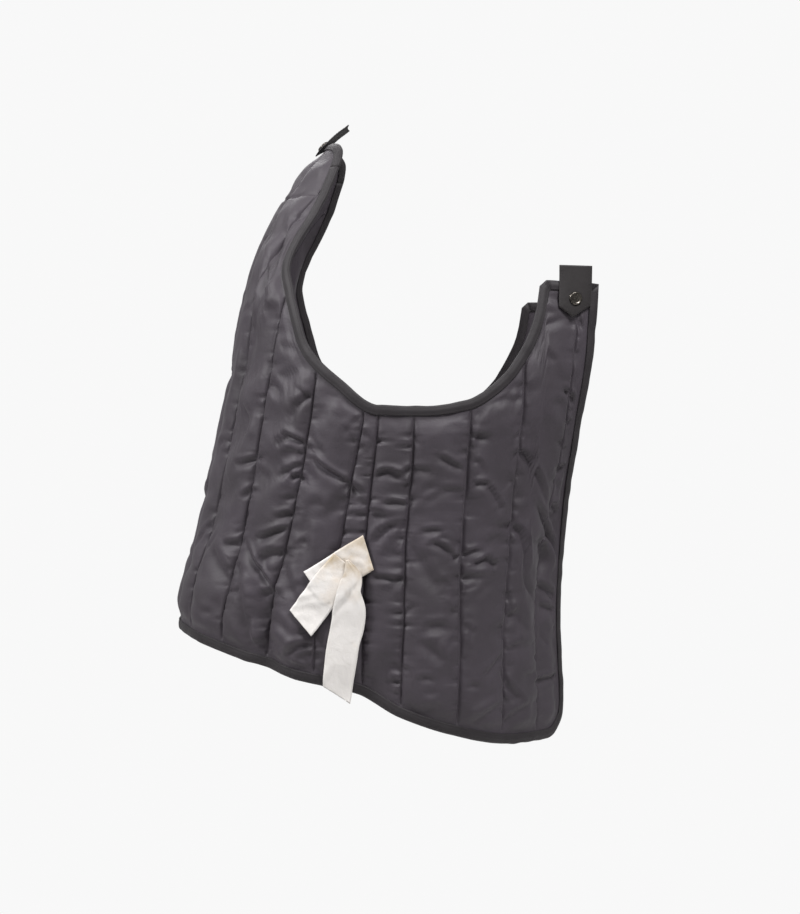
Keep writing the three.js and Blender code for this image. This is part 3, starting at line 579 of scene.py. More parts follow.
# The movement that the filling gives each panel, on coarse copies that the cloth simulation blows up
# together. A movement m is kept as most tanh(m / most), so it never passes most.
def fillChannels(names):
    helpers = []
    for name in names:
        suffix = "Back" if name == "backPanel" else "Front"
        p = layPanel(name, intervalsOf(name, quilt["simCells"], quilt["simWedge"], quilt["simCorner"], 0.0),
                     quilt["sim" + suffix + "Rows"])
        normal = plainNormal(p["side"], p["ahead"], p["z"])
        points = clothPoint(p["side"], p["ahead"], p["z"], quilt["shell"] + filling["keep"] * p["rise"])
        held = p["stitched"]
        held[[0, -1]] = held[:, [0, -1]] = True
        start = points + normal * np.where(held, 0, rng.normal(0, filling["ripple"], held.shape))[..., None]
        columns, rows = held.shape
        mesh = bpy.data.meshes.new(name + "Filling")
        mesh.from_pydata((start.reshape(-1, 3) * mm).tolist(), [], gridFaces(columns - 1, rows - 1).tolist())
        if np.cross(start[1, 0] - start[0, 0], start[0, 1] - start[0, 0]) @ normal[0, 0] < 0:
            mesh.flip_normals()
        helper = bpy.data.objects.new(name + "Filling", mesh)
        scene.collection.objects.link(helper)
        helper.vertex_groups.new(name="stitched").add(np.flatnonzero(held.ravel()).tolist(), 1.0, "REPLACE")
        cloth = helper.modifiers.new("filling", "CLOTH")
        for setting, value in filling["cloth"].items():
            setattr(cloth.settings, setting, value)
        cloth.settings.effector_weights.gravity = 0
        cloth.collision_settings.use_collision = False
        cloth.point_cache.frame_start, cloth.point_cache.frame_end = 1, filling["frames"]
        helpers.append((name, helper, p, points, held))
    for number in range(1, filling["frames"] + 1):
        scene.frame_set(number)
    depsgraph = bpy.context.evaluated_depsgraph_get()
    moved = {}
    for name, helper, p, points, held in helpers:
        co = np.empty(points.size, np.float32)
        helper.evaluated_get(depsgraph).data.vertices.foreach_get("co", co)
        move = np.where(held[..., None], 0, co.reshape(points.shape) / mm - points)
        for _ in range(filling["evened"]):  # ripples as short as the rows are evened out
            move = evened(move, 1, 0.5)
        move = np.where(held[..., None], 0, evened(move, 0, 0.6))
        size = np.linalg.norm(move, axis=-1, keepdims=True)
        print("filled", name, "moved", round(float(size.mean()), 2), "mm, most", round(float(size.max()), 2))
        moved[name] = (p, move * filling["most"] * np.tanh(size / filling["most"]) / np.maximum(size, 1e-6))
        mesh = helper.data
        bpy.data.objects.remove(helper)
        bpy.data.meshes.remove(mesh)
    scene.frame_set(1)
    return moved


panelNames = {"backPanel": "back_panel", "frontRight": "front_right", "frontLeft": "front_left"}
moved = fillChannels(panelNames)

# Gathers at the stitching, and creases. Spare creases are the near side's, moved and turned; fine ones are
# smaller still and lie all over.
creases = {
    "pinch": 2.5, "pitch": 6.0, "reach": 6.5,  # how high the gathers are, how far apart, and how far they go
    "wedge": 1.6, "narrow": 0.75,  # how much stronger they are in channels narrower than this share
    "level": 0.3, "start": 0.1, "steepest": 1.6,  # mostly level, with a trough here and there
    "noise": (97, 64), "noiseStart": 40,
    "deep": 1.7, "widen": 1.15, "narrowest": 2.7,  # factors on every crease, and its least half width
    # On each side of a crease: its trough's width, and its ridge's height, place and width, in half widths.
    "above": (0.8, 0.5, 2.1, 1.1), "below": (1.5, 0.15, 3.2, 1.5),
    "ends": 0.75, "steps": 10, "margin": 5,
    "spare": {"backPanel": 80, "frontLeft": 70, "frontRight": 0}, "spareDeep": 0.75,
    "fine": {"backPanel": 150, "frontLeft": 70, "frontRight": 70}, "fineSize": 0.55,
    "calm": -530, "mirror": -40,  # no spare ones lower on the back; past this arc they go to the far half
    "yoke": -86, "yokeDeep": 1.7, "yokeWide": 1.8,
}
# Where each detail starts and is full: mm from a panel's edge, or from a line for gather and besideLine.
fades = {"groove": (2, 8), "gather": (0, 3), "tick": (6, 20), "crease": (6, 13), "besideLine": (0, 4),
         "filling": (4, 15)}
# Creases of the right side: three places on a curve, each a distance ahead and a height; half width; depth.
creasePlaces = [
    (-24, -398, -13, -391, 1, -397, 2.2, 2.4), (1, -397, 9, -390, 15, -388, 2.2, 2.2),
    (15, -388, 22, -390, 31, -392, 3, 1.2), (-16, -427, -6, -424, 6, -427, 2, 1.8),
    (6, -427, 10, -424, 12, -418, 2, 1.8), (-28, -439, -22, -438, -15, -442, 4, 2),
    (-27, -467, -17, -453, -2, -447, 2.5, 2.2), (-16, -482, -6, -467, 4, -448, 3, 1.8),
    (-28, -500, -16, -504, 4, -503, 2, 1.4), (-17, -517, -6, -510, 5, -506, 3, 1.6),
    (39, -375, 51, -382, 65, -389, 2.2, 1.8), (23, -455, 34, -453, 42, -454, 2.2, 1.3),
    (32, -467, 43, -470, 55, -481, 2.2, 2.2), (55, -481, 60, -481, 67, -476, 2.2, 2),
    (12, -470, 24, -490, 39, -517, 5, 2), (67, -481, 75, -477, 85, -475, 1.8, 1.6),
    (78, -490, 87, -487, 94, -483, 2.6, 2.4), (94, -483, 99, -488, 106, -491, 2.6, 2.4),
    (77, -382, 84, -382, 89, -393, 2, 1.2), (79, -406, 87, -404, 94, -406, 2.2, 2),
    (94, -406, 101, -415, 111, -430, 2.4, 2.2), (81, -357, 87, -355, 96, -357, 3, 1),
    (129, -373, 145, -379, 175, -422, 2.6, 2.6), (127, -448, 142, -466, 148, -500, 2.8, 3),
    (148, -500, 154, -514, 171, -528, 3, 1.8), (160, -426, 199, -461, 226, -493, 3, 3.2),
    (170, -469, 196, -482, 189, -503, 5, 3), (186, -388, 205, -386, 224, -386, 2, 1.4),
    (195, -429, 215, -439, 229, -455, 2.5, 1.6), (120, -559, 135, -546, 161, -570, 5, 1.8),
    (117, -604, 129, -623, 146, -639, 2.5, 2), (28, -554, 36, -552, 45, -553, 3, 1.3),
    (18, -567, 33, -580, 45, -591, 4, 1.4), (89, -607, 103, -598, 116, -588, 3, 1.5),
    (69, -619, 77, -616, 86, -620, 2.5, 1), (77, -656, 93, -648, 115, -640, 4, 1.8),
    (121, -662, 136, -652, 159, -644, 4, 1.8), (187, -516, 207, -524, 236, -542, 3, 2.4),
    (191, -540, 208, -543, 237, -550, 3, 1.6), (173, -621, 198, -620, 229, -619, 2.5, 1.8),
    (133, -580, 154, -581, 173, -580, 4, 1.2), (50, -533, 55, -539, 62, -530, 3, 1.6),
    (119, -520, 126, -530, 123, -541, 2.5, 1.6), (18, -647, 30, -640, 43, -635, 4, 1.2),
    (67, -508, 75, -504, 90, -505, 4, 1.6), (90, -468, 99, -465, 111, -458, 4, 1),
    (43, -412, 53, -411, 69, -413, 3, 1.2), (104, -447, 117, -448, 126, -445, 3, 1.2),
    (-138, -362, -131, -359, -126, -354, 2.5, 2.4), (-126, -354, -114, -358, -97, -367, 2.5, 2.4),
    (-133, -376, -116, -371, -98, -380, 4, 1.5), (-136, -399, -121, -390, -104, -385, 2.5, 1.8),
    (-119, -403, -113, -397, -102, -401, 2.2, 2), (-91, -378, -76, -390, -55, -403, 2.2, 2.2),
    (-202, -385, -182, -382, -158, -374, 2.4, 2), (-187, -420, -178, -414, -166, -412, 2.2, 1.4),
    (-162, -464, -144, -460, -124, -451, 2.4, 2.4), (-156, -490, -144, -481, -124, -480, 3.5, 2.4),
    (-136, -442, -123, -438, -112, -436, 2.5, 1.8), (-177, -471, -165, -488, -144, -512, 2.2, 1.6),
    (-168, -486, -154, -503, -137, -519, 2.2, 1.2), (-154, -525, -143, -520, -128, -523, 3, 2),
    (-209, -472, -194, -470, -181, -465, 2.5, 1.8), (-194, -492, -186, -505, -191, -526, 5, 2),
    (-231, -480, -216, -495, -194, -524, 6, 2), (-179, -514, -178, -541, -174, -577, 5, 2.5),
    (-167, -545, -170, -563, -164, -578, 4, 2.5), (-120, -587, -105, -576, -88, -573, 3, 2.5),
    (-117, -591, -110, -600, -102, -606, 3.5, 2.5), (-105, -589, -95, -584, -81, -584, 3, 2),
    (-153, -580, -134, -572, -115, -584, 5, 1.5), (-138, -550, -124, -554, -115, -567, 4, 1.2),
    (-122, -492, -118, -505, -109, -527, 4, 1.2), (-100, -430, -87, -425, -80, -430, 4, 1),
    (-55, -403, -50, -407, -42, -416, 3, 3), (-55, -407, -62, -421, -76, -439, 4, 1.2),
    (-115, -324, -104, -315, -94, -308, 2.5, 1.2), (-204, -323, -193, -339, -201, -369, 5, 1.5),
    (-128, -231, -112, -244, -95, -270, 2.2, 2), (-144, -289, -127, -287, -115, -282, 2.5, 1.2),
    (-141, -258, -131, -257, -122, -258, 1.8, 1), (-122, -335, -112, -322, -100, -310, 2.5, 1.2),
    (-158, -294, -144, -303, -137, -311, 4, 1.5), (-179, -157, -174, -194, -170, -206, 5, 2),
    (150, -239, 159, -236, 180, -227, 3, 1.5), (184, -228, 197, -231, 209, -238, 3, 1.5),
    (151, -261, 159, -268, 168, -276, 3, 1.5), (152, -222, 162, -223, 176, -224, 4, 1.2),
    (132, -303, 140, -306, 152, -304, 4, 1.2), (187, -304, 203, -316, 217, -336, 2.5, 2.6),
    (193, -341, 203, -337, 213, -338, 2.5, 1.4), (92, -316, 111, -315, 128, -315, 3, 1.2),
    (209, -243, 213, -255, 213, -268, 3, 1.4), (80, -356, 86, -356, 95, -356, 3, 1.2),
]


def lineNoise(at, row, table):  # smooth random heights along a row of a table, blended by t^2 (3 - 2t)
    i = np.floor(at).astype(int)
    t = smoothStep(0, 1, at - i)
    return table[i % len(table), row] * (1 - t) + table[(i + 1) % len(table), row] * t


# The nearest place on the crease's quadratic curve gives a point's distance from it, s, and its share of
# the way along, a. The trough is exp(-(s / wide)^2), steeper above than below, with a low ridge past
# it on each side, and all of it fades towards the ends as 1 - ends (2a - 1)^4.
def creaseRise(ahead, z, crease):
    start, through, stop = (np.array(crease[k:k + 2], float) for k in (0, 2, 4))
    wide, deep = max(crease[6] * creases["widen"], creases["narrowest"]), crease[7]
    t = np.linspace(0, 1, creases["steps"] + 1)[:, None]
    curve = (1 - t) ** 2 * start + t * (1 - t) * (4 * through - start - stop) + t * t * stop
    margin = creases["margin"] * wide
    low, high = curve.min(0) - margin, curve.max(0) + margin
    near = (ahead > low[0]) & (ahead < high[0]) & (z > low[1]) & (z < high[1])
    rise = np.zeros(z.shape)
    if not near.any():
        return rise
    run = np.diff(curve, axis=0)
    offset = np.stack([ahead[near], z[near]], -1)[:, None] - curve[None, :-1]
    along = np.clip((offset * run).sum(-1) / (run ** 2).sum(-1), 0, 1)
    offset = offset - along[..., None] * run
    distance = np.linalg.norm(offset, axis=-1)
    pick = distance.argmin(1)
    every = np.arange(len(pick))
    away, share = distance[every, pick] / wide, (pick + along[every, pick]) / len(run)
    turned = run[pick, 0] * offset[every, pick, 1] - run[pick, 1] * offset[every, pick, 0]
    trough = [ridge * bell((away - place) / spread) - bell(away / narrow)
              for narrow, ridge, place, spread in (creases["above"], creases["below"])]
    trough = np.where(turned * (stop - start)[0] > 0, *trough)
    rise[near] = deep * trough * (1 - creases["ends"] * (2 * share - 1) ** 4)
    return rise


def creasesOn(name, p):  # all the creases that reach a panel
    ahead = np.where(p["side"] < 0, p["ahead"], -2 * quarterAt(p["z"]) - p["ahead"])
    rise = np.zeros(p["z"].shape)
    if name != "frontLeft":
        for crease in creasePlaces:
            rise += creaseRise(ahead, p["z"], crease)
    spare = creases["spare"][name]
    for number in range(spare + creases["fine"][name]):
        size = 1.0 if number < spare else creases["fineSize"]
        crease = np.array(creasePlaces[rng.integers(len(creasePlaces))], float)
        column, row = rng.integers(0, p["z"].shape[0]), rng.integers(0, p["z"].shape[1])
        if number < spare and name == "backPanel":
            if p["z"][column, row] < creases["calm"]:
                continue
            if p["arc"][column, row] < creases["mirror"]:
                column = p["z"].shape[0] - 1 - column
        crease[:6:2] = p["arc"][column, row] + rng.choice([-size, size]) * (crease[:6:2] - crease[2])
        crease[1:6:2] = p["z"][column, row] + size * (crease[1:6:2] - crease[3])
        crease[6:] *= (size + 1) / 2, size * creases["spareDeep"]
        rise += creaseRise(p["arc"], p["z"], crease)
    return creases["deep"] * rise


panels = {}
for name, node in panelNames.items():
    back = name == "backPanel"
    rows = quilt["backRows"] if back else quilt["frontRows"]
    p = layPanel(name, intervalsOf(name, quilt["cells"], quilt["wedgeCells"], quilt["cornerCells"],
                                   quilt["crowd"]), rows)
    normal = plainNormal(p["side"], p["ahead"], p["z"])
    groove = quilt["groove"] * bell(p["toLine"] / quilt["grooveWidth"])
    groove = groove * smoothStep(*fades["groove"], p["toEdge"])
    table = rng.normal(0, 1, creases["noise"])
    lineRow = np.broadcast_to((2 * p["left"] + (p["share"] > 0.5))[:, None], p["z"].shape)
    pinch = lineNoise(p["z"] / creases["pitch"] + creases["noiseStart"], lineRow, table)
    gather = np.exp(-p["toLine"] / creases["reach"]) * smoothStep(*fades["gather"], p["toLine"])
    gather = gather * (1 + (creases["wedge"] - 1) * (p["wide"] < creases["narrow"] * quilt["channel"]))
    free = smoothStep(*fades["besideLine"], p["toLine"]) * smoothStep(*fades["crease"], p["toEdge"])
    ticks = creases["level"] - np.clip(pinch - creases["start"], 0, creases["steepest"])
    detail = creases["pinch"] * ticks * gather * smoothStep(*fades["tick"], p["toEdge"])
    detail = detail + creasesOn(name, p) * (free * pressed(p["ahead"], p["z"]))
    if back:
        yoke = bell((p["z"] - creases["yoke"]) / creases["yokeWide"])
        detail = detail - creases["yokeDeep"] * yoke * smoothStep(*fades["groove"], p["toEdge"])
    lift = quilt["shell"] + filling["keep"] * p["rise"] - groove + detail
    base = clothPoint(p["side"], p["ahead"], p["z"])
    outer = base + normal * lift[..., None]
    if name in moved:
        coarse, move = moved[name]
        starts = np.append(np.flatnonzero(coarse["share"] == 0), len(coarse["share"]) - 1)
        across = blendRows(coarse["left"] + coarse["share"], p["left"] + p["share"], starts)
        simRows = move.shape[1] - 1
        down = blendRows(np.linspace(0, 1, simRows + 1), np.linspace(0, 1, rows + 1), np.array([0, simRows]))
        push = np.einsum("ac,cdk,bd->abk", across, move, down)
        outer = outer + push * smoothStep(*fades["filling"], p["toEdge"])[..., None]
    p["height"] = ((outer - base) * normal).sum(-1)
    sunk = quilt["innerGroove"] * groove - quilt["inward"] * np.maximum(p["height"] - quilt["shell"], 0)
    inner = base + normal * sunk[..., None]
    p["outer"], p["normal"] = outer, normal
    points = np.concatenate([outer.reshape(-1, 3), inner[::2, ::2].reshape(-1, 3)])
    uv = np.stack([p["arc"], p["z"]], -1)
    uv = np.concatenate([uv.reshape(-1, 2), uv[::2, ::2].reshape(-1, 2)])
    obj = closedMesh(name, points, panelFaces(p["z"].shape[0] - 1, rows), uv)
    finishPiece(obj, taffeta, [node])
    panels[name] = p
    print(name, "stands up to", round(float(p["height"].max()), 1), "mm off the body")

# Binding: one strip of tape folded over the cut edges all round, in the stretches in which it is sewn on.
# outside is half of its section, from the outer lip over the cloth to the fold, mm from the cut edge.
# nearest: places closer together than this are left out; sharpest: least cosine of a mitred corner.
binding = {
    "nearest": 0.8, "sharpest": 0.6, "swell": 0.12, "slip": 0.5,
    "outside": [(-2.5, 1.6), (-1.6, 2.25), (-0.6, 1.95), (0.5, 2.3), (2.6, 2.45), (4.4, 2.3), (5.2, 1.95),
                (6.1, 2.0), (7.0, 1.5), (7.5, 0.8), (7.7, 0)],
    "wall": 0.55, "ruffle": 0.25, "ruffleSize": 12.0, "cut": 21.0,
    "rows": [(-0.6, 2.0), (5.2, 2.0), (-0.6, -2.0)],  # where its three rows of stitches run
}


# Places round the whole cut edge, for each stretch: side, distance ahead and height. Where two panels meet,
# the last few places of one are left out, so that the tape runs over the seam.
def edgeLoop():
    back, right, left = (panels[name] for name in ("backPanel", "frontRight", "frontLeft"))
    strap = right["strap"]

    def run(p, columns, rows):  # the places of some of a panel's columns and rows
        return np.stack([p[key][columns, rows] for key in ("side", "ahead", "z")], -1)

    top = run(back, slice(None), -1)[::-1]  # from the left seam to the right seam
    arc = top[:, 1] + quarterAt(top[:, 2])
    neck = np.abs(arc) < edges["neckArc"]
    leftOf = (top[:, 0] > 0) & ~neck
    rightOf = (top[:, 0] < 0) & ~neck
    every = slice(None)
    return {
        "bindingEdge": np.concatenate([run(right, -1, every)[:0:-1], run(right, every, 0)[::-1],
                                       run(back, slice(3, -3), 0), run(left, every, 0),
                                       run(left, -1, every)[1:-1]]),
        "bindingTopLeft": run(left, slice(strap + 1, None), -1)[::-1],
        "bindingArmholeLeft": np.concatenate([run(left, slice(0, strap + 1), -1)[::-1], top[leftOf][3:]]),
        "bindingNeck": top[neck],
        "bindingArmholeRight": np.concatenate([top[rightOf][:-3], run(right, slice(0, strap), -1)]),
        "bindingTopRight": run(right, slice(strap, -1), -1),
    }


loop = edgeLoop()
loopPlaces = np.concatenate(list(loop.values()))
loopPoints = clothPoint(*loopPlaces.T, quilt["shell"] / 2)
keep = np.linalg.norm(loopPoints - np.roll(loopPoints, 1, axis=0), axis=1) > binding["nearest"]
loopNames = np.repeat(list(loop), [len(run) for run in loop.values()])[keep]
loopPlaces, loopPoints = loopPlaces[keep], loopPoints[keep]
loopNormals = plainNormal(*loopPlaces.T)
into = unit(loopPoints - np.roll(loopPoints, 1, axis=0))
out = np.roll(into, -1, axis=0)
acrossInto = unit(np.cross(loopNormals, into))
across = unit(acrossInto + unit(np.cross(loopNormals, out)))
mitre = 1 / np.maximum((across * acrossInto).sum(-1), binding["sharpest"])
loopLength = np.cumsum(np.linalg.norm(loopPoints - np.roll(loopPoints, 1, axis=0), axis=1))
ruffleTable = rng.normal(0, 1, (211, 3))


def bindingPoint(at, a, b):  # a across from the cut edge and b out of the cloth, at loop indices
    swell = [lineNoise(loopLength[at] / binding["ruffleSize"], k, ruffleTable) * binding["ruffle"]
             for k in (0, 1)]
    reach = np.where(a > 0, a * (1 + binding["swell"] * swell[0]) * mitre[at], a + binding["slip"] * swell[0])
    return loopPoints[at] + across[at] * reach[..., None] + loopNormals[at] * (b + swell[1])[..., None]


outside = np.array(binding["outside"])
upper = np.concatenate([outside, outside[-2::-1] * [1, -1]])  # over, round the edge and under
turn = unit(np.gradient(upper, axis=0))
lower = upper + np.stack([-turn[:, 1], turn[:, 0]], -1) * binding["wall"]
section = np.concatenate([upper, lower[::-1]])
sectionArc = runLength(section)
half = len(upper)
stretches = {
    "bindingEdge": ("binding_edge", ["frontRight", "backPanel", "frontLeft"]),
    "bindingTopLeft": ("binding_top_left", ["frontLeft"]),
    "bindingArmholeLeft": ("binding_armhole_left", ["frontLeft", "backPanel"]),
    "bindingNeck": ("binding_neck", ["backPanel"]),
    "bindingArmholeRight": ("binding_armhole_right", ["backPanel", "frontRight"]),
    "bindingTopRight": ("binding_top_right", ["frontRight"]),
}
seams = []
for name, (node, carriers) in stretches.items():
    own = np.flatnonzero(loopNames == name)
    at = np.append(own, (own[-1] + 1) % len(loopNames))
    rings = bindingPoint(at[:, None], section[None, :, 0], section[None, :, 1])
    ends = np.arange(half - 1)
    cap = np.stack([ends, ends + 1, 2 * half - 2 - ends, 2 * half - 1 - ends], -1)
    faces = np.concatenate([tubeFaces(len(at), len(section)), cap[:, ::-1],
                            cap + (len(at) - 1) * len(section)])
    length = runLength(loopPoints[at])
    uv = np.stack(np.broadcast_arrays(length[:, None], sectionArc[None]), -1)
    obj = closedMesh(name, rings, faces, uv)
    finishPiece(obj, bindingTape, [node])
    for a, b in binding["rows"]:
        seams.append((bindingPoint(at[2:-2], np.full(len(at) - 4, a), np.full(len(at) - 4, b)),
                      loopNormals[at[2:-2]] * np.sign(b)))
print("bindings made,", round(float(loopLength[-1])), "mm round")

# Threads: each stitch is a short spindle of four sides, lying along its seam. Real thread is 0.25 mm thick;
# it is drawn at 0.5 mm so that it shows. rings: shares of half its length and of its radius.
stitching = {"pitch": 3.4, "long": 2.5, "thick": 0.5, "sunk": 0.05, "ahead": 0.5,
             "rings": [(-1, 0.35), (-0.25, 1.0), (0.25, 1.0), (1, 0.35)]}


# Each stitch is the spindle's (along, beside, up) taken along its seam, beside it and out of the cloth.
def layStitches(runs):
    shape = np.array([(along, r * np.cos(a), r * np.sin(a))
                      for along, r in stitching["rings"] for a in np.arange(4) * np.pi / 2])
    shape *= [stitching["long"] / 2, stitching["thick"] / 2, stitching["thick"] / 2]
    caps = np.array([[3, 2, 1, 0], [12, 13, 14, 15]])
    faces = np.concatenate([tubeFaces(4, 4), caps])
    points = []
    for path, normals in runs:
        length = runLength(path)
        at = np.arange(stitching["pitch"], length[-1] - stitching["pitch"], stitching["pitch"])
        if len(at) == 0:
            continue
        middle, normal = alongPath(at, length, path), unit(alongPath(at, length, normals))
        way = unit(alongPath(at + stitching["ahead"], length, path) - middle)
        beside = np.cross(normal, way)
        points.append(middle[:, None] + way[:, None] * shape[None, :, :1]
                      + beside[:, None] * shape[None, :, 1:2]
                      + normal[:, None] * (shape[None, :, 2:] - stitching["sunk"]))
    points = np.concatenate(points)
    faces = faces[None] + np.arange(len(points))[:, None, None] * len(shape)
    return points.reshape(-1, 3), faces.reshape(-1, 4), len(points)


quiltSeams = []
for p in panels.values():
    for column in np.flatnonzero(p["stitched"][:, 1]):
        quiltSeams.append((p["outer"][column, 3:-3], p["normal"][column, 3:-3]))
for name, runs in (("stitchesQuilting", quiltSeams), ("stitchesBinding", seams)):
    points, faces, number = layStitches(runs)
    obj = closedMesh(name, points, faces)
    finishPiece(obj, thread)
    print(name, number, "stitches,", len(faces) * 2, "triangles")


# Samples of what already lies on the cloth, within reach of the middle of a piece: distance ahead on a side,
# height up the body, and height off it, which is the most of nine neighbouring places on a panel.
def standing(side, ahead, z, reach=(75, 110)):
    samples = list(laid)
    for p in panels.values():
        places = np.where(p["side"] == side, p["ahead"], -2 * quarterAt(p["z"]) - p["ahead"])
        wide = np.pad(p["height"], 1, mode="edge")
        rows, columns = p["height"].shape
        highest = np.max([wide[a:a + rows, b:b + columns] for a in range(3) for b in range(3)], axis=0)
        samples.append(np.stack([places, p["z"], highest], -1)[:, ::2].reshape(-1, 3))
    samples = np.concatenate(samples)
    near = np.abs(samples[:, :2] - [ahead.mean(), z.mean()]) < reach
    return samples[near.all(1)]


# The most that stands within a distance of each place, evened out along both ways of its grid.
def coveredHeight(side, ahead, z, width, reach, evened=3):
    samples = standing(side, ahead, z)
    most = np.zeros(z.shape)
    for column in range(z.shape[0]):
        inside = ((np.abs(samples[None, :, 0] - ahead[column][:, None]) < width)
                  & (np.abs(samples[None, :, 1] - z[column][:, None]) < reach))
        most[column] = np.where(inside, samples[None, :, 2], 0).max(1, initial=0)
    for _ in range(evened):
        wide = np.pad(most, 1, mode="edge")
        most = (wide[:-2, 1:-1] + wide[2:, 1:-1] + wide[1:-1, :-2] + wide[1:-1, 2:] + 2 * most) / 6
    return most


# A closed strip between two grids of points, joined round their rims.
def stripMesh(name, lower, upper, uv):
    return closedMesh(name, np.stack([lower, upper]), shellFaces(lower.shape[0] - 1, lower.shape[1] - 1),
                      np.stack([uv, uv]))


def tabEnd(tab, share):  # how far down a tab's lower edge is, straight from its tip to both sides
    return tab["length"] - tab["point"] * (np.abs(share - tab["tip"]) / max(tab["tip"], 1 - tab["tip"]))


# The height of a tab's underside at each row: the most that stands within a few rows below it, level under
# its snap, and then evened out over nine rows, three times.
def tabUnderside(tab, side, rows):
    z = tab["top"] - rows
    under = coveredHeight(side, tabAhead(tab, z)[None], z[None], tabs["width"] / 2 + 1, tabs["near"], 0)[0]
    under = np.maximum(under, tabs["least"])
    level = np.abs(rows - tab["snap"]) < tabs["reach"]
    under = np.where(level, under[level].max(), under)
    wide = np.pad(under, tabs["hold"], mode="edge")
    under = np.max([wide[k:k + len(under)] for k in range(2 * tabs["hold"] + 1)], axis=0)
    for _ in range(3):
        under = np.convolve(np.pad(under, 4, mode="edge"), np.ones(9) / 9, mode="valid")
    return under + tabs["clear"]


# A tab is a doubled strip with a pointed end, flat across, its rows running from its top to its lower edge.
# Its edges roll down by edgeRoll (1 - smoothStep(edge)), and the inner row of stitches dips by seamDip.
def makeTab(name, tab, side, node):
    rows = np.linspace(0, tab["length"], tabs["down"] + 1)
    under = tabUnderside(tab, side, rows)
    share = np.linspace(0, 1, tabs["across"] + 1)[:, None]
    drop = tabEnd(tab, share) * (rows / tab["length"])[None]
    z = tab["top"] - drop
    ahead = tabAhead(tab, z) + (share - 0.5) * tabs["width"]
    lift = np.interp(drop, rows, under)
    edge = np.minimum(np.minimum(share, 1 - share) * tabs["width"], tabEnd(tab, share) - drop)
    rolled = tabs["edgeRoll"] * (1 - smoothStep(0, tabs["edgeWidth"], edge))
    rolled = rolled + tabs["seamDip"] * bell((edge - tabs["seamAt"]) / tabs["seamWidth"])
    lower = clothPoint(side, ahead, z, lift + tabs["underRoll"] * rolled)
    upper = clothPoint(side, ahead, z, lift + tabs["depth"] - rolled)
    obj = stripMesh(name, lower, upper, np.stack([(share - 0.5) * tabs["width"] + 0 * drop, -drop], -1))
    finishPiece(obj, twill, [node])
    walk = clothPoint(side, tabAhead(tab, tab["top"] - rows), tab["top"] - rows)  # its length along the cloth
    runs = []
    for inset in tabs["seams"]:  # two rows of topstitching, parallel to the long edges and the point
        half = tabs["width"] / 2 - inset
        shoulder = [tabEnd(tab, s) - inset for s in (inset / tabs["width"], 1 - inset / tabs["width"])]
        tip = ((tab["tip"] - 0.5) * tabs["width"], tab["length"] - tabs["tipInset"] * inset)
        corners = np.array([(-half, 2), (-half, shoulder[0]), tip, (half, shoulder[1]), (half, 2)])
        walk = runLength(corners)
        x, down = alongPath(np.linspace(0, walk[-1], 90), walk, corners).T
        zs = tab["top"] - down
        aheads = tabAhead(tab, zs) + x
        runs.append((clothPoint(side, aheads, zs, np.interp(down, rows, under) + tabs["depth"] - 0.1),
                     plainNormal(side, aheads, zs)))
    return runs, float(under[np.argmin(np.abs(rows - tab["snap"]))]) + tabs["depth"]


# A snap's cap: share of its radius and height, from its foot over the rolled rim to the dished middle.
cap = {
    "radius": 7.4, "around": 64, "clear": 0.15,
    "profile": [(0, 0), (0.9, 0), (0.985, 0.16), (1, 0.5), (0.985, 0.95), (0.93, 1.5), (0.86, 1.95),
                (0.79, 2.1), (0.72, 1.98), (0.66, 1.72), (0.6, 1.56), (0.5, 1.5), (0.38, 1.52), (0.2, 1.58),
                (0, 1.62)],
}


# The profile (r, h) turned round the cloth's normal: (r cos a, r sin a, h).
def makeSnap(name, tab, side, lift, node):
    z = np.array(tab["top"] - tab["snap"])
    ahead = tabAhead(tab, z)
    foot = clothPoint(side, ahead, z, lift + cap["clear"])
    axis = Vector(plainNormal(side, ahead, z))
    turn = np.array(Vector((0, 0, 1)).rotation_difference(axis).to_matrix())
    profile = np.array(cap["profile"]) * [cap["radius"], 1]
    a = np.linspace(0, 2 * np.pi, cap["around"], endpoint=False)
    rings = np.stack([profile[1:-1, :1] * np.cos(a), profile[1:-1, :1] * np.sin(a),
                      np.broadcast_to(profile[1:-1, 1:], (len(profile) - 2, len(a)))], -1)
    poles = [(0, 0, profile[0, 1]), (0, 0, profile[-1, 1])]
    points = np.concatenate([rings.reshape(-1, 3), poles]) @ turn.T + foot
    count, lastRing = len(rings) * len(a), (len(rings) - 1) * len(a)
    k = np.arange(len(a))
    after = (k + 1) % len(a)
    obj = closedMesh(name, points, [tubeFaces(len(rings), len(a)), np.stack([after, k, k * 0 + count], -1),
                                    np.stack([k + lastRing, after + lastRing, k * 0 + count + 1], -1)])
    finishPiece(obj, nickel, [node])


laid = []  # the labels that are made, as samples for the ones that lie over them
tabSeams = []
for word, side, tab in (("Right", -1.0, tabs["front"]), ("Left", 1.0, tabs["front"]),
                        ("Back", 1.0, tabs["back"])):
    runs, lift = makeTab("tab" + word, tab, side, "tab_" + word.lower())
    makeSnap("snap" + word, tab, side, lift, "snap_" + word.lower())
    tabSeams += runs
points, faces, number = layStitches(tabSeams)
finishPiece(closedMesh("stitchesTabs", points, faces), thread)
print("tabs and snaps made")

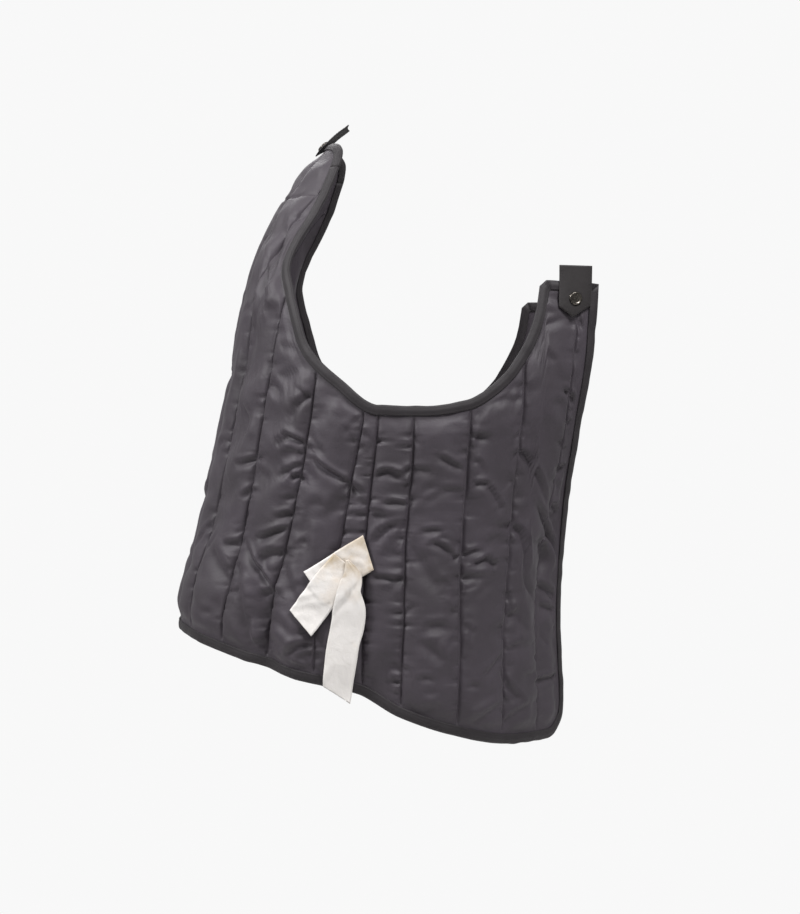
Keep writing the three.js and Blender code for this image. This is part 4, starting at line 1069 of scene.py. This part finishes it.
# Labels: bare ribbons sewn into the right side seam, in the order in which they lie on each other. Each row
# is a place of the middle line on the cloth, the ribbon's width and its lift over the stitched wall.
labels = {
    "labelShort": [(-32, -476, 37, 5.2), (-51, -488, 37, 7), (-70, -501, 37, 8), (-88, -513, 37, 8.6)],
    "labelFold": [(-54, -488, 33, 7), (-71, -509, 34, 9), (-86, -530, 34, 9), (-101, -551, 34, 8.4)],
    "labelLong": [(-53, -484, 3, 10), (-48, -501, 19, 10.6), (-51, -517, 24, 10.4), (-51, -535, 33, 9),
                  (-53, -552, 34, 8), (-57, -568, 33, 7), (-60, -586, 33, 6.6), (-63, -607, 31, 7),
                  (-65, -625, 29, 8)],
}
# slant: how far the upper and lower ends are skewed, fading over the share skewed of the length; near: how
# far around a place the cloth below is looked at.
labelForm = {
    "across": 16, "down": 80, "depth": 0.6, "wave": 1.1, "curl": 1.6, "clear": 0.8, "ripple": 0.35, "near": 4,
    "slant": {"labelShort": (10, 0), "labelFold": (0, 8), "labelLong": (0, 15)}, "skewed": 0.4,
}


# A ribbon along its middle line at share a of its length and s of its width. It stands off the cloth by its
# lift, waves of sin(9a + 2.4s), ripples of sin(31a + 5 sin 4s) and edges curled up by (2s)^2 a. Where
# something lies below, it rides over that, as the larger of both, rounded by half a mm where they meet.
def makeLabel(name, rows, node, number):
    run = np.linspace(0, 1, len(rows))
    at = np.linspace(0, 1, labelForm["down"] + 1)
    middle, z, width, lift = (smoothAt(run, [row[k] for row in rows], at) for k in range(4))
    way = unit(np.stack([np.gradient(middle), np.gradient(z)], -1))
    share = np.linspace(-0.5, 0.5, labelForm["across"] + 1)[:, None]
    first, last = labelForm["slant"][name]
    skewed = labelForm["skewed"]
    skew = share * (first * (1 - smoothStep(0, skewed, at)) + last * smoothStep(1 - skewed, 1, at))
    ahead = middle - way[:, 1] * share * width + way[:, 0] * skew
    zs = z + way[:, 0] * share * width + way[:, 1] * skew
    wave = labelForm["wave"] * np.sin(at * (9 + 3 * number) + 2.4 * share + number) * at ** 0.5
    curl = labelForm["curl"] * (2 * share) ** 2 * at * (0.6 + 0.4 * np.cos(5 * at + number))
    wave = wave + labelForm["ripple"] * np.sin(31 * at + 5 * np.sin(4 * share + number) + 2 * number)
    top = quilt["shell"] + lift + wave + curl
    covered = coveredHeight(-1.0, ahead, zs, labelForm["near"], labelForm["near"])
    covered = covered + labelForm["clear"] + labelForm["depth"]
    top = np.maximum(top, covered) + 0.5 * np.exp(-np.abs(top - covered))
    laid.append(np.stack([ahead, zs, top], -1).reshape(-1, 3))
    lower, upper = (clothPoint(-1.0, ahead, zs, top - depth) for depth in (labelForm["depth"], 0))
    length = runLength(np.stack([middle, z], -1))
    uv = np.stack(np.broadcast_arrays(share * width + 100 * number, -length[None]), -1)
    obj = stripMesh(name, lower, upper, uv)
    finishPiece(obj, ribbon, [node])


for number, (name, rows) in enumerate(labels.items()):  # each lies over the ones before it
    makeLabel(name, rows, "label_" + name[5:].lower(), number)
print("labels made")

# Studio: a round pale floor, a white room and soft boxes, each a place, a size and a power in watts. middle
# is where the soft boxes point; walls: how bright the room looks; room: how much of that lights the vest.
studio = {
    "floor": (0, -0.06, -1.2), "radius": 1.2, "sides": 96, "middle": (0, -0.05, -0.4),
    "white": "#f2f1ef", "walls": 0.94, "room": 0.3,
    "softBoxes": [((-0.7, 1.7, 1.1), 0.6, 50), ((-1.1, -0.8, 1.1), 0.6, 38), ((1.9, 0.2, 1.6), 1.6, 40)],
}
mesh = bpy.data.meshes.new("floor")
a = np.linspace(0, 2 * np.pi, studio["sides"], endpoint=False)
circle = studio["radius"] * np.stack([np.cos(a), np.sin(a), 0 * a], -1) + studio["floor"]
mesh.from_pydata(circle.tolist(), [], [list(range(len(a)))])
floor = bpy.data.objects.new("floor", mesh)
scene.collection.objects.link(floor)
paper = startMaterial("paperFloor", {"Base Color": linear(studio["white"]), "Roughness": 0.8})[0]
mesh.materials.append(paper)
scene.view_settings.view_transform = "Standard"
world = bpy.data.worlds.new("studio")  # white walls, of which less than their full light reaches the vest
world.use_nodes = True
sees = addNode(world.node_tree, "LightPath").outputs["Is Camera Ray"]
strength = addNode(world.node_tree, "MapRange", {"To Min": studio["room"], "To Max": studio["walls"]},
                   {"Value": sees}).outputs["Result"]
backdrop = world.node_tree.nodes["Background"]
backdrop.inputs["Color"].default_value = (1, 1, 1, 1)
world.node_tree.links.new(strength, backdrop.inputs["Strength"])
scene.world = world
for place, size, power in studio["softBoxes"]:
    data = bpy.data.lights.new("softBox", "AREA")
    data.size, data.energy = size, power
    lamp = bpy.data.objects.new("softBox", data)
    lamp.location = place
    lamp.rotation_euler = (Vector(studio["middle"]) - lamp.location).to_track_quat("-Z", "Y").to_euler()
    scene.collection.objects.link(lamp)
print("studio made")
